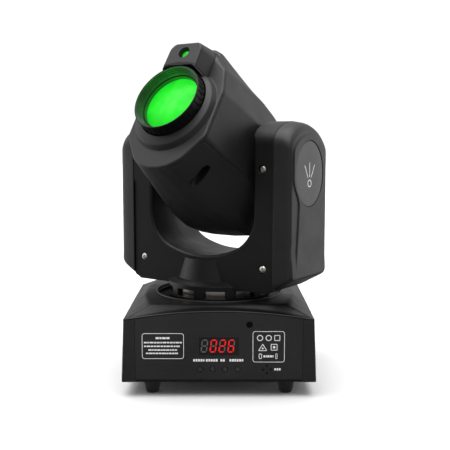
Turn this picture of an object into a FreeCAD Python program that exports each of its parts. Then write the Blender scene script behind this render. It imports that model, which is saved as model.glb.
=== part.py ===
# Small moving head stage light: base on rubber feet, panning U-shaped yoke, tilting head.
# Units are millimetres. Heights are written above the floor; the saved pieces are lowered so
# that the origin is on the pan axis in the underside of the steel bottom tray. +Z is up and
# the base's front faces -Y. The yoke is drawn facing -Y and the head with its beam along -Y;
# both are then turned to the rest pose. In the head, s is the distance forwards along the beam
# from the tilt axis, u is sideways and v is upwards.

import math
import os

import FreeCAD, Part

V = FreeCAD.Vector

# ---- rest pose ----
PAN_REST = -35.0
TILT_REST = 33.0

# ---- base ----
TRAY_Z = 13.0
TRAY_T = 2.0
BASE_HALF_W_LOW = 80.0
BASE_HALF_W_TOP = 78.0
BASE_HALF_D = 77.8
SHELL_TOP_Z = 65.4
ARCH_TOP_Z = 72.5
PLATEAU_Z = 75.2
COVER_T = 2.2
LIP_T = 1.4
PANEL_HALF_W = 68.4
PANEL_T = 2.0
RECESS_R = 56.0
RECESS_FLOOR_Z = 72.2
RING_SEAT_R = 38.5
FOOT_X = 55.9
FOOT_Y = 60.6
FOOT_TOP_R = 8.0
FOOT_LOW_R = 5.5
KEY_X = (-15.4, -5.2, 5.0, 15.2)
KEY_Z = 23.7
KEY_R = 2.1
DISPLAY_X = 16.0
DISPLAY_Z = (35.5, 50.5)
REMOTE_X = 24.9
REMOTE_Z = 61.0
REMOTE_R = 2.7
MIC_X = 39.3
MIC_Z = 23.7
BRACKET_X = 60.0
BRACKET_Y = 60.0
BRACKET_HOLE_R = 2.6

# ---- slewing ring and pan drive ----
RACE_GAP = 0.3
INNER_RACE_R = 36.4
OUTER_RACE_R = 42.0
RACE_TOP_Z = 82.0
SHAFT_R = 12.0
SHAFT_BORE_R = 8.5
COLLAR_IN_R = 43.2
COLLAR_OUT_R = 45.4
COLLAR_WINDOWS = 10
PAN_PULLEY_R = 26.0
PAN_MOTOR_XY = (54.0, 38.0)
MOTOR_PULLEY_R = 5.2
PAN_BELT_Z = (47.0, 53.0)
MOTOR_SIDE = 35.0

# ---- yoke ----
YOKE_BOTTOM_Z = 83.3
YOKE_HALF_D = 30.4
ARM_INNER_X = 55.0
ARM_SEAM_X = 75.0
ARM_OUTER_X = 92.0
TILT_AXIS_Z = 182.6
ARM_TOP_R = 43.5
ARM_CORNER_R = 16.0
YOKE_WALL = 2.4
U_BOTTOM_Z = 110.4
U_CHAMFER = (2.9, 2.6)
HUB_TOP_Z = 107.0
HUB_TOP_R = 33.5
HUB_LOW_R = 38.5
HUB_FLANGE_R = 45.6
YOKE_SCREW_X = 64.4
YOKE_SCREW_Z = (103.5, 186.5)
YOKE_SCREW_HEAD_R = 2.9
INSET_TOP_Z = 171.0
INSET_DEPTH = 1.0
BADGE_HALF_W = 23.0
BADGE_HALF_H = 27.5

# ---- tilt drive ----
AXLE_R = 9.95
AXLE_BORE_R = 6.5
BEARING_R = 14.0
BEARING_BORE_R = 10.03
CHASSIS_T = 2.0
CHASSIS_X = 74.8
TILT_PULLEY_R = 20.0
TILT_MOTOR_PULLEY_R = 5.0
TILT_MOTOR_Z = 128.0
TILT_BELT_X = (79.0, 84.0)

# ---- head ----
HEAD_WALL = 2.2
LENS_V = 12.0
BEZEL_REAR_S = 78.5
BEZEL_S = 81.0
HUMP_S = 97.0
CAP_FRONT_S = -34.0
TAIL_S = -38.0
COLLAR_FOOT_R = 39.5
COLLAR_LIP_R = 36.5
COLLAR_LIP_S = 85.5
COLLAR_LIP_V = 9.5
COLLAR_TOP_S = 87.3
SLEEVE_R = 33.6
SLEEVE_BORE_R = 31.2
RING_R = 30.7
RING_FRONT_S = 97.2
RING_REAR_S = 69.0
RING_BORE_R = 26.9
RING_MOUTH_R = 29.3
LENS_FRONT_S = 89.8
RING_RIBS = 36
APERTURE_V = 56.4
WHEEL_R = 26.5
WHEEL_HOLE_PCD_R = 20.0
WHEEL_HOLES = 8
COLOUR_AXIS_V = -8.0
GOBO_AXIS_V = 32.0
COLOUR_S = 19.0
GOBO_S = 23.0
FAN_R = 26.0
FAN_BLADES = 9

# Half outlines of the head's many-sided section, (u, v), from the top down the right side.
NOSE = [(12.0, 66.0), (19.5, 61.6), (35.0, 48.7), (41.2, 27.5), (40.2, -15.4), (24.5, -37.0), (14.0, -43.6),
        (5.0, -45.8)]
CROWN = [(13.5, 74.3), (20.5, 69.9), (35.1, 49.9), (42.1, 27.9), (41.2, -15.8), (25.6, -37.6), (15.1, -44.1),
         (5.5, -46.3)]
BELLY = [(18.5, 69.5), (25.5, 66.8), (36.0, 59.5), (49.0, 31.0), (49.0, -19.0), (34.0, -42.0), (24.0, -48.0),
         (9.0, -50.0)]
HIPS = [(16.5, 69.3), (24.8, 66.2), (36.0, 59.5), (49.0, 31.0), (49.0, -19.0), (38.0, -43.3), (27.0, -49.0),
        (10.0, -51.0)]
SHOULDER = [(20.0, 65.5), (26.0, 63.5), (36.0, 57.0), (49.0, 31.0), (49.0, -19.0), (38.0, -42.5), (28.0, -48.6),
            (11.0, -50.2)]
TAIL = [(16.0, 50.0), (20.0, 49.0), (31.0, 44.0), (43.5, 26.0), (43.5, -17.0), (33.0, -39.0), (26.0, -43.5),
        (12.0, -44.8)]
HEAD_STATIONS = [(BEZEL_S, NOSE), (74.0, CROWN), (20.0, BELLY), (-6.0, HIPS), (-18.0, SHOULDER), (TAIL_S, TAIL)]


# ---------------------------------------------------------------- shared shapes

def box(x0, x1, y0, y1, z0, z1):
    return Part.makeBox(x1 - x0, y1 - y0, z1 - z0, V(x0, y0, z0))


def rod(start, axis, length, radius):
    return Part.makeCylinder(radius, length, V(*start), V(*axis))


def tube(start, axis, length, outer, inner):
    return rod(start, axis, length, outer).cut(rod(start, axis, length, inner))


def fuse(shapes):
    whole = shapes[0].multiFuse(shapes[1:]) if len(shapes) > 1 else shapes[0]
    return whole.removeSplitter()


def polygon(points):
    return Part.makePolygon([V(*p) for p in points] + [V(*points[0])])


def slab(points, along):
    return Part.Face(polygon(points)).extrude(V(*along))


def slab_y(points_xz, y0, y1):
    return slab([(x, y0, z) for x, z in points_xz], (0, y1 - y0, 0))


def slab_x(points_yz, x0, x1):
    return slab([(x0, y, z) for y, z in points_yz], (x1 - x0, 0, 0))


def slab_z(points_xy, z0, z1):
    return slab([(x, y, z0) for x, y in points_xy], (0, 0, z1 - z0))


def mirrored(half):
    return half + [(-u, v) for u, v in reversed(half)]


def inset(points, depth):
    """Move every side of a convex clockwise outline inwards by depth."""
    moved = []
    count = len(points)
    for i in range(count):
        a, b = points[i - 1], points[i]
        c = points[(i + 1) % count]
        lines = []
        for p, q in ((a, b), (b, c)):
            length = math.hypot(q[0] - p[0], q[1] - p[1])
            normal = ((q[1] - p[1]) / length, -(q[0] - p[0]) / length)
            lines.append((normal, normal[0] * p[0] + normal[1] * p[1] + depth))
        (n1, d1), (n2, d2) = lines
        det = n1[0] * n2[1] - n1[1] * n2[0]
        moved.append(((d1 * n2[1] - d2 * n1[1]) / det, (n1[0] * d2 - n2[0] * d1) / det))
    return moved


def loft(wires):
    return Part.makeLoft(wires, True, True)


def mirror_x(shape):
    return shape.mirror(V(0, 0, 0), V(1, 0, 0))


def turned(shape, angle):
    copy = shape.copy()
    copy.rotate(V(0, 0, 0), V(0, 0, 1), angle)
    return copy


def ring_of(shape, count, centre, axis, first=0.0):
    """Copies of shape evenly spaced about an axis."""
    copies = []
    for i in range(count):
        copy = shape.copy()
        copy.rotate(V(*centre), V(*axis), first + 360.0 * i / count)
        copies.append(copy)
    return copies


def belt_loop(a, ra, b, rb, thick, width):
    """Flat belt round two pulleys in the XY plane, from z = 0 to width."""
    dx, dy = b[0] - a[0], b[1] - a[1]
    gap = math.hypot(dx, dy)
    heading = math.atan2(dy, dx)

    def filled(r1, r2):
        lean = math.acos((r1 - r2) / gap)
        corners = []
        for side in (1, -1):
            for (x, y), r in ((a, r1), (b, r2)):
                angle = heading + side * lean
                corners.append((x + r * math.cos(angle), y + r * math.sin(angle)))
        order = [corners[0], corners[1], corners[3], corners[2]]
        discs = [rod((a[0], a[1], 0), (0, 0, 1), width, r1), rod((b[0], b[1], 0), (0, 0, 1), width, r2)]
        return fuse([slab_z(order, 0, width)] + discs)

    return filled(ra + thick, rb + thick).cut(filled(ra, rb))


def pulley(radius, bore, width, flange=1.4):
    """Belt pulley on the Z axis from z = 0 to width, with a flange at each end."""
    parts = [rod((0, 0, 0), (0, 0, 1), width, radius)]
    for z in (0, width - 0.8):
        parts.append(rod((0, 0, z), (0, 0, 1), 0.8, radius + flange))
    return fuse(parts).cut(rod((0, 0, -1), (0, 0, 1), width + 2, bore))


def screw(head_r, head_h, shank_r, length):
    """Cross-head screw on the Z axis, head underside at z = 0, shank going down."""
    head = rod((0, 0, 0), (0, 0, 1), head_h, head_r)
    head = head.makeFillet(head_h * 0.6, [e for e in head.Edges if e.BoundBox.ZMin > head_h - 0.01])
    slot = box(-head_r * 0.55, head_r * 0.55, -0.35, 0.35, head_h * 0.45, head_h + 1)
    head = head.cut(slot).cut(turned(slot, 90))
    return head.fuse(rod((0, 0, -length), (0, 0, 1), length, shank_r)).removeSplitter()


def aim(shape, direction, place):
    """Turn a shape drawn along +Z to direction, then move its origin to place."""
    copy = shape.copy()
    turn = FreeCAD.Rotation(V(0, 0, 1), V(*direction))
    copy.Placement = FreeCAD.Placement(V(*place), turn).multiply(copy.Placement)
    return copy


def base_frame(shape):
    return shape.copy()


def yoke_frame(shape):
    return turned(shape, PAN_REST)


def head_frame(shape):
    copy = shape.copy()
    copy.rotate(V(0, 0, 0), V(1, 0, 0), -TILT_REST)
    copy.translate(V(0, 0, TILT_AXIS_Z))
    return turned(copy, PAN_REST)


def save(name, shape, frame):
    placed = frame(shape)
    placed.translate(V(0, 0, -TRAY_Z))
    bad = [s for s in placed.Solids if not s.isValid()]
    solids = placed.Solids
    lone = solids[0] if len(solids) == 1 else Part.makeCompound(solids)
    lone.exportStep("parts/%s.step" % name)
    print("%-20s %2d solids %9.0f mm3 %s" % (name, len(solids), lone.Volume, "BAD" if bad else ""))


# ---------------------------------------------------------------- base

def arch_z(x):
    radius = (BASE_HALF_W_TOP ** 2 + (ARCH_TOP_Z - SHELL_TOP_Z) ** 2) / (2 * (ARCH_TOP_Z - SHELL_TOP_Z))
    return ARCH_TOP_Z - radius + math.sqrt(radius ** 2 - x ** 2)


def arched(half_w, low_z, drop, y0, y1):
    """Upright slab with a straight foot and the base's arched top edge, lowered by drop."""
    left, right = V(-half_w, y0, arch_z(half_w) - drop), V(half_w, y0, arch_z(half_w) - drop)
    top = Part.Arc(left, V(0, y0, ARCH_TOP_Z - drop), right).toShape()
    low_l, low_r = V(-half_w, y0, low_z), V(half_w, y0, low_z)
    sides = [Part.makeLine(right, low_r), Part.makeLine(low_r, low_l), Part.makeLine(low_l, left)]
    return Part.Face(Part.Wire([top] + sides)).extrude(V(0, y1 - y0, 0))


def hip(shrink):
    """Hipped block between the base's top edge and the plateau round the turntable."""
    w, d = BASE_HALF_W_TOP - shrink, BASE_HALF_D - shrink
    low = [(w, y) for y in (-d, -54, -24, 0, 24, 54, d)]
    high = [(56, -64), (60.5, -48), (65.3, -22), (66, 0), (65.3, 22), (60.5, 48), (56, 64)]
    high = [(x - shrink, y * (1 - shrink / 64.0)) for x, y in high]
    wires = []
    for outline, z in ((low, SHELL_TOP_Z - shrink), (high, PLATEAU_Z - shrink)):
        ring = outline + [(-x, y) for x, y in reversed(outline)]
        wires.append(polygon([(x, y, z) for x, y in ring]))
    return loft(wires)


def build_base():
    d, t = BASE_HALF_D, PANEL_T
    seat_z = RECESS_FLOOR_Z - COVER_T

    sheet = arched(BASE_HALF_W_TOP, 40.0, 0.0, -d, d).cut(arched(BASE_HALF_W_TOP + 0.1, 30.0, LIP_T, -d - 1, d + 1))
    inner_hip = fuse([hip(COVER_T), box(-70, 70, -70, 70, 60, SHELL_TOP_Z)])
    cover = fuse([sheet, hip(0.0)]).cut(inner_hip)
    for y0, y1 in ((-d - 1, -d + t), (d - t, d + 1)):
        cover = cover.cut(arched(PANEL_HALF_W + 8, 30.0, LIP_T, y0, y1))
    floor = rod((0, 0, seat_z), (0, 0, 1), COVER_T, RECESS_R + 1)
    wall = tube((0, 0, seat_z), (0, 0, 1), PLATEAU_Z - COVER_T + 0.4 - seat_z, RECESS_R + COVER_T, RECESS_R)
    cover = fuse([cover, wall, floor])
    cover = cover.cut(rod((0, 0, RECESS_FLOOR_Z), (0, 0, 1), 10, RECESS_R))
    cover = cover.cut(rod((0, 0, 60), (0, 0, 1), 20, RING_SEAT_R))
    save("top_cover", cover, base_frame)

    slope = (BASE_HALF_W_LOW - BASE_HALF_W_TOP) / (SHELL_TOP_Z - TRAY_Z)
    top_z = SHELL_TOP_Z - LIP_T
    top_x = BASE_HALF_W_LOW - slope * (top_z - TRAY_Z)
    wall_t = COVER_T
    side = slab_y([(BASE_HALF_W_LOW, TRAY_Z), (top_x, top_z), (top_x - wall_t, top_z),
                   (BASE_HALF_W_LOW - wall_t, TRAY_Z)], -d, d)
    wrap_top = arch_z(PANEL_HALF_W) - LIP_T
    wrap = [(BASE_HALF_W_LOW, TRAY_Z), (top_x, top_z), (PANEL_HALF_W + 0.15, wrap_top),
            (PANEL_HALF_W + 0.15, TRAY_Z)]
    side = fuse([side, slab_y(wrap, -d, -d + wall_t), slab_y(wrap, d - wall_t, d)])
    corners = [e for e in side.Edges if abs(e.BoundBox.YLength) < 0.01 and e.BoundBox.ZLength > 45
               and e.BoundBox.XMax > 79.9 and abs(e.BoundBox.YMax) > d - 0.01]
    side = side.makeFillet(1.8, corners)
    save("side_shell_right", side, base_frame)
    save("side_shell_left", mirror_x(side), base_frame)

    panel_low = TRAY_Z + TRAY_T + 0.2
    front = arched(PANEL_HALF_W, panel_low, LIP_T, -d, -d + t)
    for x in KEY_X:
        front = front.cut(rod((x, -d - 1, KEY_Z), (0, 1, 0), 4, KEY_R + 0.35))
    front = front.cut(box(-DISPLAY_X, DISPLAY_X, -d - 1, -d + 3, DISPLAY_Z[0], DISPLAY_Z[1]))
    front = front.cut(rod((REMOTE_X, -d - 1, REMOTE_Z), (0, 1, 0), 4, REMOTE_R))
    for dx, dz in ((3.3, 0), (-3.3, 0), (0, 3.0), (0, -3.0)):
        front = front.cut(rod((MIC_X + dx, -d - 1, MIC_Z + dz), (0, 1, 0), 4, 1.0))
    save("front_panel", front, base_frame)

    rear = arched(PANEL_HALF_W, panel_low, LIP_T, d - t, d)
    rear = rear.cut(box(-58, -32, d - 3, d + 1, 30, 50))
    for x in (-3.0, 33.0):
        rear = rear.cut(rod((x, d - 3, 40), (0, 1, 0), 4, 12.0))
    for x in (-50, -40, -30, 44, 52, 60):
        rear = rear.cut(box(x - 2, x + 2, d - 3, d + 1, 56, 60))
    save("rear_panel", rear, base_frame)

    display = box(-DISPLAY_X + 0.1, DISPLAY_X - 0.1, -d + 0.5, -d + 8, DISPLAY_Z[0] + 0.1, DISPLAY_Z[1] - 0.1)
    save("display", display, base_frame)
    window = rod((REMOTE_X, -d + 0.6, REMOTE_Z), (0, 1, 0), 7.4, REMOTE_R - 0.05)
    save("remote_window", window, base_frame)

    board = box(-58, 58, -d + 9, -d + 10.6, 18, 64)
    board = fuse([board, box(-50, -20, -d + 10.6, -d + 16, 24, 40), box(22, 52, -d + 10.6, -d + 18, 28, 44),
                  box(-20, -8, -d + 10.6, -d + 13, 46, 58)])
    switches = [box(x - 3, x + 3, -d + 6.6, -d + 9, KEY_Z - 3, KEY_Z + 3) for x in KEY_X]
    microphone = rod((MIC_X, -d + t + 0.2, MIC_Z), (0, 1, 0), 9 - t - 0.2, 4.8)
    save("control_board", fuse([board, microphone] + switches), base_frame)
    for i, x in enumerate(KEY_X):
        cap = fuse([rod((x, -d + 0.2, KEY_Z), (0, 1, 0), 4.8, KEY_R),
                    rod((x, -d + t + 0.4, KEY_Z), (0, 1, 0), 1.2, KEY_R + 0.9)])
        save("key_%d" % (i + 1), cap, base_frame)

    tray = fuse([box(-77.5, 77.5, -75.4, 75.4, TRAY_Z, TRAY_Z + TRAY_T),
                 box(-68.3, 68.3, -77.3, 77.3, TRAY_Z, TRAY_Z + TRAY_T),
                 box(74.4, 76.0, -66, 66, TRAY_Z, 34), box(-76.0, -74.4, -66, 66, TRAY_Z, 34)])
    for sx in (-1, 1):
        for sy in (-1, 1):
            place = (sx * BRACKET_X / 2, sy * BRACKET_Y / 2, TRAY_Z)
            tray = tray.fuse(rod(place, (0, 0, 1), 6.0, 5.5))
            tray = tray.cut(rod((place[0], place[1], TRAY_Z - 1), (0, 0, 1), 10, BRACKET_HOLE_R))
            tray = tray.cut(rod((sx * FOOT_X, sy * FOOT_Y, TRAY_Z - 1), (0, 0, 1), 5, 1.75))
    for i in range(-3, 4):
        tray = tray.cut(box(i * 9 - 2, i * 9 + 2, -14, 14, TRAY_Z - 1, TRAY_Z + 3))
    save("base_tray", tray.removeSplitter(), base_frame)

    feet = []
    bolts = []
    for sx in (-1, 1):
        for sy in (-1, 1):
            x, y = sx * FOOT_X, sy * FOOT_Y
            foot = Part.makeCone(FOOT_LOW_R, FOOT_TOP_R, TRAY_Z, V(x, y, 0))
            foot = foot.makeFillet(1.2, [e for e in foot.Edges if e.BoundBox.ZMax < 0.01])
            foot = foot.cut(rod((x, y, -1), (0, 0, 1), 8, 3.2)).cut(rod((x, y, 0), (0, 0, 1), 14, 1.75))
            feet.append(foot)
            bolts.append(aim(screw(3.0, 2.0, 1.75, 11.0), (0, 0, -1), (x, y, 7.0)))
    save("rubber_feet", Part.makeCompound(feet), base_frame)
    save("base_screws", Part.makeCompound(bolts), base_frame)

    inlet = fuse([box(-60, -30, d, d + 1.6, 28, 52), box(-57.8, -32.2, d - 20, d, 30.2, 49.8)])
    inlet = inlet.cut(box(-55, -35, d - 14, d + 3, 33, 47))
    pins = [box(x - 1, x + 1, d - 16, d - 6.5, 38, 42) for x in (-51, -45, -39)]
    save("power_inlet", fuse([inlet] + pins), base_frame)
    for name, x, plug in (("signal_in", -3.0, True), ("signal_out", 33.0, False)):
        body = fuse([box(x - 13, x + 13, d, d + 1.8, 24.5, 55.5), rod((x, d - 20, 40), (0, 1, 0), 20, 11.8)])
        if plug:
            body = body.cut(rod((x, d - 12, 40), (0, 1, 0), 20, 9.6))
            body = fuse([body] + ring_of(rod((x, d - 13, 44.2), (0, 1, 0), 12, 1.2), 3, (x, d, 40), (0, 1, 0), 60))
        else:
            body = body.cut(tube((x, d - 12, 40), (0, 1, 0), 20, 9.6, 8.2))
            for hole in ring_of(rod((x, d - 12, 44.2), (0, 1, 0), 20, 1.3), 3, (x, d, 40), (0, 1, 0), 60):
                body = body.cut(hole)
        save(name, body.removeSplitter(), base_frame)

    board_z = TRAY_Z + 9.0
    supply = [box(-59, -22, -44, 44, board_z, board_z + 1.6), box(-55, -34, -34, -8, board_z + 1.6, 42),
              box(-57, -30, 4, 26, board_z + 1.6, 37), rod((-44, 36, board_z + 1.6), (0, 0, 1), 18, 6.5)]
    posts = [rod((x, y, TRAY_Z + TRAY_T), (0, 0, 1), board_z - TRAY_Z - TRAY_T, 2.5)
             for x in (-56, -25) for y in (-41, 41)]
    save("power_supply", fuse(supply + posts), base_frame)

    plate_z = seat_z - 2.5
    bridge = [box(-63, 63, -45, 45, plate_z, seat_z)]
    for sx in (-1, 1):
        x0, x1 = sorted((sx * 60.6, sx * 63.0))
        bridge.append(box(x0, x1, -24, 16, TRAY_Z + TRAY_T, plate_z))
        f0, f1 = sorted((sx * 63.0, sx * 72.0))
        bridge.append(box(f0, f1, -24, 16, TRAY_Z + TRAY_T, TRAY_Z + TRAY_T + 2.0))
    bridge = fuse(bridge).cut(rod((0, 0, 60), (0, 0, 1), 20, SHAFT_R + 2))
    save("pan_bridge", bridge, base_frame)

    race = tube((0, 0, RECESS_FLOOR_Z), (0, 0, 1), RACE_TOP_Z - RECESS_FLOOR_Z, OUTER_RACE_R, INNER_RACE_R + RACE_GAP)
    save("slew_ring_outer", race, base_frame)

    mx, my = PAN_MOTOR_XY
    half = MOTOR_SIDE / 2
    motor = fuse([box(mx - half, mx + half, my - half, my + half, TRAY_Z + TRAY_T, 42.0),
                  rod((mx, my, 42), (0, 0, 1), 1.6, 11.0), rod((mx, my, 42), (0, 0, 1), 13.5, 2.45)])
    save("pan_motor", motor, base_frame)
    small = pulley(MOTOR_PULLEY_R, 2.5, 8.0)
    small.translate(V(mx, my, PAN_BELT_Z[0] - 1.0))
    save("pan_motor_pulley", small, base_frame)
    belt = belt_loop((0, 0), PAN_PULLEY_R + 0.35, PAN_MOTOR_XY, MOTOR_PULLEY_R + 0.35, 0.9,
                     PAN_BELT_Z[1] - PAN_BELT_Z[0])
    belt.translate(V(0, 0, PAN_BELT_Z[0]))
    save("pan_belt", belt, base_frame)


# ---------------------------------------------------------------- yoke

def u_wire(grow, y):
    """Outline of the U between the arms at depth y, grown sideways and downwards by grow."""
    half = [(55.0, 150.0, 1.0, 0.0), (53.9, 139.5, 0.97, -0.25), (50.2, 130.8, 0.85, -0.53),
            (45.4, 124.6, 0.7, -0.71), (38.6, 119.2, 0.5, -0.86), (28.5, 115.0, 0.3, -0.95),
            (14.5, 111.5, 0.12, -0.99)]
    curve = [(x + nx * grow, z + nz * grow) for x, z, nx, nz in half]
    points = curve + [(0.0, U_BOTTOM_Z - grow)] + [(-x, z) for x, z in reversed(curve)]
    spline = Part.BSplineCurve()
    spline.interpolate([V(x, y, z) for x, z in points])
    side = ARM_INNER_X + grow
    a, b, c, d = V(side, y, 150), V(side, y, 260), V(-side, y, 260), V(-side, y, 150)
    edges = [spline.toShape(), Part.makeLine(d, c), Part.makeLine(c, b), Part.makeLine(b, a)]
    return Part.Wire(Part.__sortEdges__(edges))


def u_opening(grow):
    """Solid that fills the U between the arms."""
    return Part.Face(u_wire(grow, -60)).extrude(V(0, 120, 0))


def u_chamfer(side):
    """Wedge that slopes the U's edge on the front (side -1) or rear (side 1) face."""
    drop, run = U_CHAMFER
    inner, outer = side * (YOKE_HALF_D - run), side * (YOKE_HALF_D + 0.05)
    return loft([u_wire(0.0, inner), u_wire(drop, outer)])


def arm_shoulder(x, y, top_r, corner_r):
    """Arc from an arm's straight side at y into its arched top: start, middle and end points."""
    sign = math.copysign(1.0, y)
    cy = abs(y) - corner_r
    cz = math.sqrt((top_r - corner_r) ** 2 - cy ** 2)
    lean = math.atan2(cz, cy)
    points = [(cy + corner_r * math.cos(k * lean), cz + corner_r * math.sin(k * lean)) for k in (0.0, 0.5, 1.0)]
    return [V(x, sign * py, TILT_AXIS_Z + pz) for py, pz in points]


def arm_outline(x, y_front, y_rear, top_r, low_z, corner_r):
    """Side outline of an arm at x: straight front and rear, rounded into a top arched about the tilt axis."""
    front = arm_shoulder(x, y_front, top_r, corner_r)
    rear = arm_shoulder(x, y_rear, top_r, corner_r)
    a, d = V(x, y_front, low_z), V(x, y_rear, low_z)
    top = Part.Arc(front[2], V(x, 0, TILT_AXIS_Z + top_r), rear[2]).toShape()
    return Part.Wire([Part.makeLine(a, front[0]), Part.Arc(*front).toShape(), top,
                      Part.Arc(rear[2], rear[1], rear[0]).toShape(), Part.makeLine(rear[0], d),
                      Part.makeLine(d, a)])


def yoke_solid(shrink, seam_x):
    """The yoke without its arm covers, shrunk by a wall thickness for the hollow."""
    low = YOKE_BOTTOM_Z + shrink
    front = [(-seam_x, 240), (-seam_x, low + 3.7), (-68, low), (68, low), (seam_x, low + 3.7), (seam_x, 240)]
    block = slab_y(front, -60, 60)
    depth = YOKE_HALF_D - shrink
    outline = Part.Face(arm_outline(-80, -depth, depth, ARM_TOP_R - shrink, 70, ARM_CORNER_R - shrink))
    block = block.common(outline.extrude(V(160, 0, 0)))
    hub = Part.makeCone(HUB_LOW_R - shrink, HUB_TOP_R - shrink, HUB_TOP_Z - YOKE_BOTTOM_Z - 2 * shrink,
                        V(0, 0, low))
    opening = u_opening(shrink)
    lane = opening.common(box(-80, 80, -depth, depth, 0, 300))
    return block.cut(opening), hub.cut(lane)


def build_yoke():
    block, hub = yoke_solid(0.0, ARM_SEAM_X)
    flange = rod((0, 0, YOKE_BOTTOM_Z), (0, 0, 1), 2.4, HUB_FLANGE_R)
    shoulder = Part.makeCone(HUB_FLANGE_R - 0.8, HUB_LOW_R + 2.0, 2.8, V(0, 0, YOKE_BOTTOM_Z + 2.4))
    for side in (-1, 1):
        y0, y1 = sorted((side * (YOKE_HALF_D - INSET_DEPTH), side * (YOKE_HALF_D + 1)))
        low = slab_x([(side * (YOKE_HALF_D - INSET_DEPTH), 80), (side * (YOKE_HALF_D - INSET_DEPTH), INSET_TOP_Z),
                      (side * YOKE_HALF_D, INSET_TOP_Z + 5), (side * (YOKE_HALF_D + 1), INSET_TOP_Z + 5),
                      (side * (YOKE_HALF_D + 1), 80)], -ARM_SEAM_X - 1, ARM_SEAM_X + 1)
        block = block.cut(low).cut(u_chamfer(side))
    outer = fuse([block, hub, flange, shoulder])
    in_block, in_hub = yoke_solid(YOKE_WALL, ARM_SEAM_X + 5)
    in_block = in_block.common(box(-90, 90, -YOKE_HALF_D + YOKE_WALL + 1.0, YOKE_HALF_D - YOKE_WALL - 1.0, 0, 300))
    shell = outer.cut(in_block).cut(in_hub)
    shell = shell.cut(rod((0, 0, 80), (0, 0, 1), 10, 30.0))
    shell = shell.cut(rod((-62, 0, TILT_AXIS_Z), (1, 0, 0), 124, 11.0))
    wall_in = YOKE_HALF_D - YOKE_WALL - 1.0
    tab_y = 24.0
    for side in (-1, 1):
        for sx in (-1, 1):
            for z in YOKE_SCREW_Z:
                start = (sx * YOKE_SCREW_X, side * tab_y, z)
                shell = shell.fuse(rod(start, (0, side, 0), wall_in - tab_y + 0.5, 5.0))
                shell = shell.cut(rod(start, (0, side, 0), 12, 1.6))
                shell = shell.cut(rod((start[0], side * (YOKE_HALF_D - 3.2), z), (0, side, 0), 5, 3.7))
    shell = shell.removeSplitter()
    save("yoke_shell_front", shell.common(box(-100, 100, -80, 0, 0, 300)), yoke_frame)
    save("yoke_shell_rear", shell.common(box(-100, 100, 0, 80, 0, 300)), yoke_frame)

    screws = []
    for side in (-1, 1):
        for sx in (-1, 1):
            for z in YOKE_SCREW_Z:
                screws.append(aim(screw(YOKE_SCREW_HEAD_R, 2.2, 1.5, 9.0), (0, side, 0),
                                  (sx * YOKE_SCREW_X, side * (YOKE_HALF_D - 3.2), z)))
    save("yoke_screws", Part.makeCompound(screws), yoke_frame)

    outer_x, inner_x = CHASSIS_X, CHASSIS_X - CHASSIS_T
    frame = slab_y([(-outer_x, 206), (-outer_x, 92), (-66.5, YOKE_BOTTOM_Z + YOKE_WALL), (66.5, YOKE_BOTTOM_Z + YOKE_WALL),
                    (outer_x, 92), (outer_x, 206), (inner_x, 206), (inner_x, 93), (65.7, YOKE_BOTTOM_Z + YOKE_WALL + CHASSIS_T),
                    (-65.7, YOKE_BOTTOM_Z + YOKE_WALL + CHASSIS_T), (-inner_x, 93), (-inner_x, 206)], -tab_y, tab_y)
    tabs = []
    for side in (-1, 1):
        for sx in (-1, 1):
            for z in YOKE_SCREW_Z:
                x0, x1 = sorted((sx * (YOKE_SCREW_X - 4), sx * inner_x))
                y0, y1 = sorted((side * tab_y, side * (tab_y - 2)))
                tabs.append(box(x0, x1, y0, y1, z - 6, z + 6))
    frame = fuse([frame] + tabs)
    for side in (-1, 1):
        for sx in (-1, 1):
            for z in YOKE_SCREW_Z:
                frame = frame.cut(rod((sx * YOKE_SCREW_X, side * (tab_y - 3), z), (0, side, 0), 5, 1.5))
    frame = frame.cut(rod((0, 0, 80), (0, 0, 1), 12, SHAFT_BORE_R))
    frame = frame.cut(rod((-80, 0, TILT_AXIS_Z), (1, 0, 0), 160, BEARING_R))
    frame = frame.cut(rod((70, 0, TILT_MOTOR_Z), (1, 0, 0), 10, 11.0))
    save("yoke_chassis", frame.removeSplitter(), yoke_frame)

    stations = [(ARM_SEAM_X, -30.9, 30.4, 43.5, 87.0, 16.0), (84.0, -30.1, 30.6, 42.0, 91.7, 15.0),
                (89.0, -29.3, 30.6, 38.8, 94.4, 13.0), (ARM_OUTER_X, -27.2, 29.4, 33.5, 96.6, 10.0)]
    skin = loft([arm_outline(*station) for station in stations])
    hollow = [(ARM_SEAM_X - 0.1, 0.0), (83.0, 0.0), (87.0, 0.6), (ARM_OUTER_X - 2.4, 2.2)]
    core = loft([arm_outline(x, -28.2 + k, 28.0 - k, 40.4 - 1.8 * k, 91.2 + (x - 75.0) * 0.5 + k, 13.0)
                 for x, k in hollow])
    cover = skin.cut(core)
    pocket = aimed_ellipse(BADGE_HALF_H, BADGE_HALF_W, ARM_OUTER_X - 1.1, 3.0)
    cover = cover.cut(pocket)
    save("arm_cover_right", cover, yoke_frame)
    save("arm_cover_left", mirror_x(cover), yoke_frame)
    disc = aimed_ellipse(BADGE_HALF_H - 0.3, BADGE_HALF_W - 0.3, ARM_OUTER_X - 1.1, 0.7)
    save("arm_badges", Part.makeCompound([disc, mirror_x(disc)]), yoke_frame)

    collar = tube((0, 0, 73.4), (0, 0, 1), YOKE_BOTTOM_Z - 73.4, COLLAR_OUT_R, COLLAR_IN_R)
    gap = slab_z([(0, 0), (60 * math.sin(math.radians(12)), -60 * math.cos(math.radians(12))),
                  (-60 * math.sin(math.radians(12)), -60 * math.cos(math.radians(12)))], 75.2, 81.6)
    for cutter in ring_of(gap, COLLAR_WINDOWS, (0, 0, 0), (0, 0, 1), -5.0 - PAN_REST):
        collar = collar.cut(cutter)
    save("turntable_collar", collar, yoke_frame)

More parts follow.
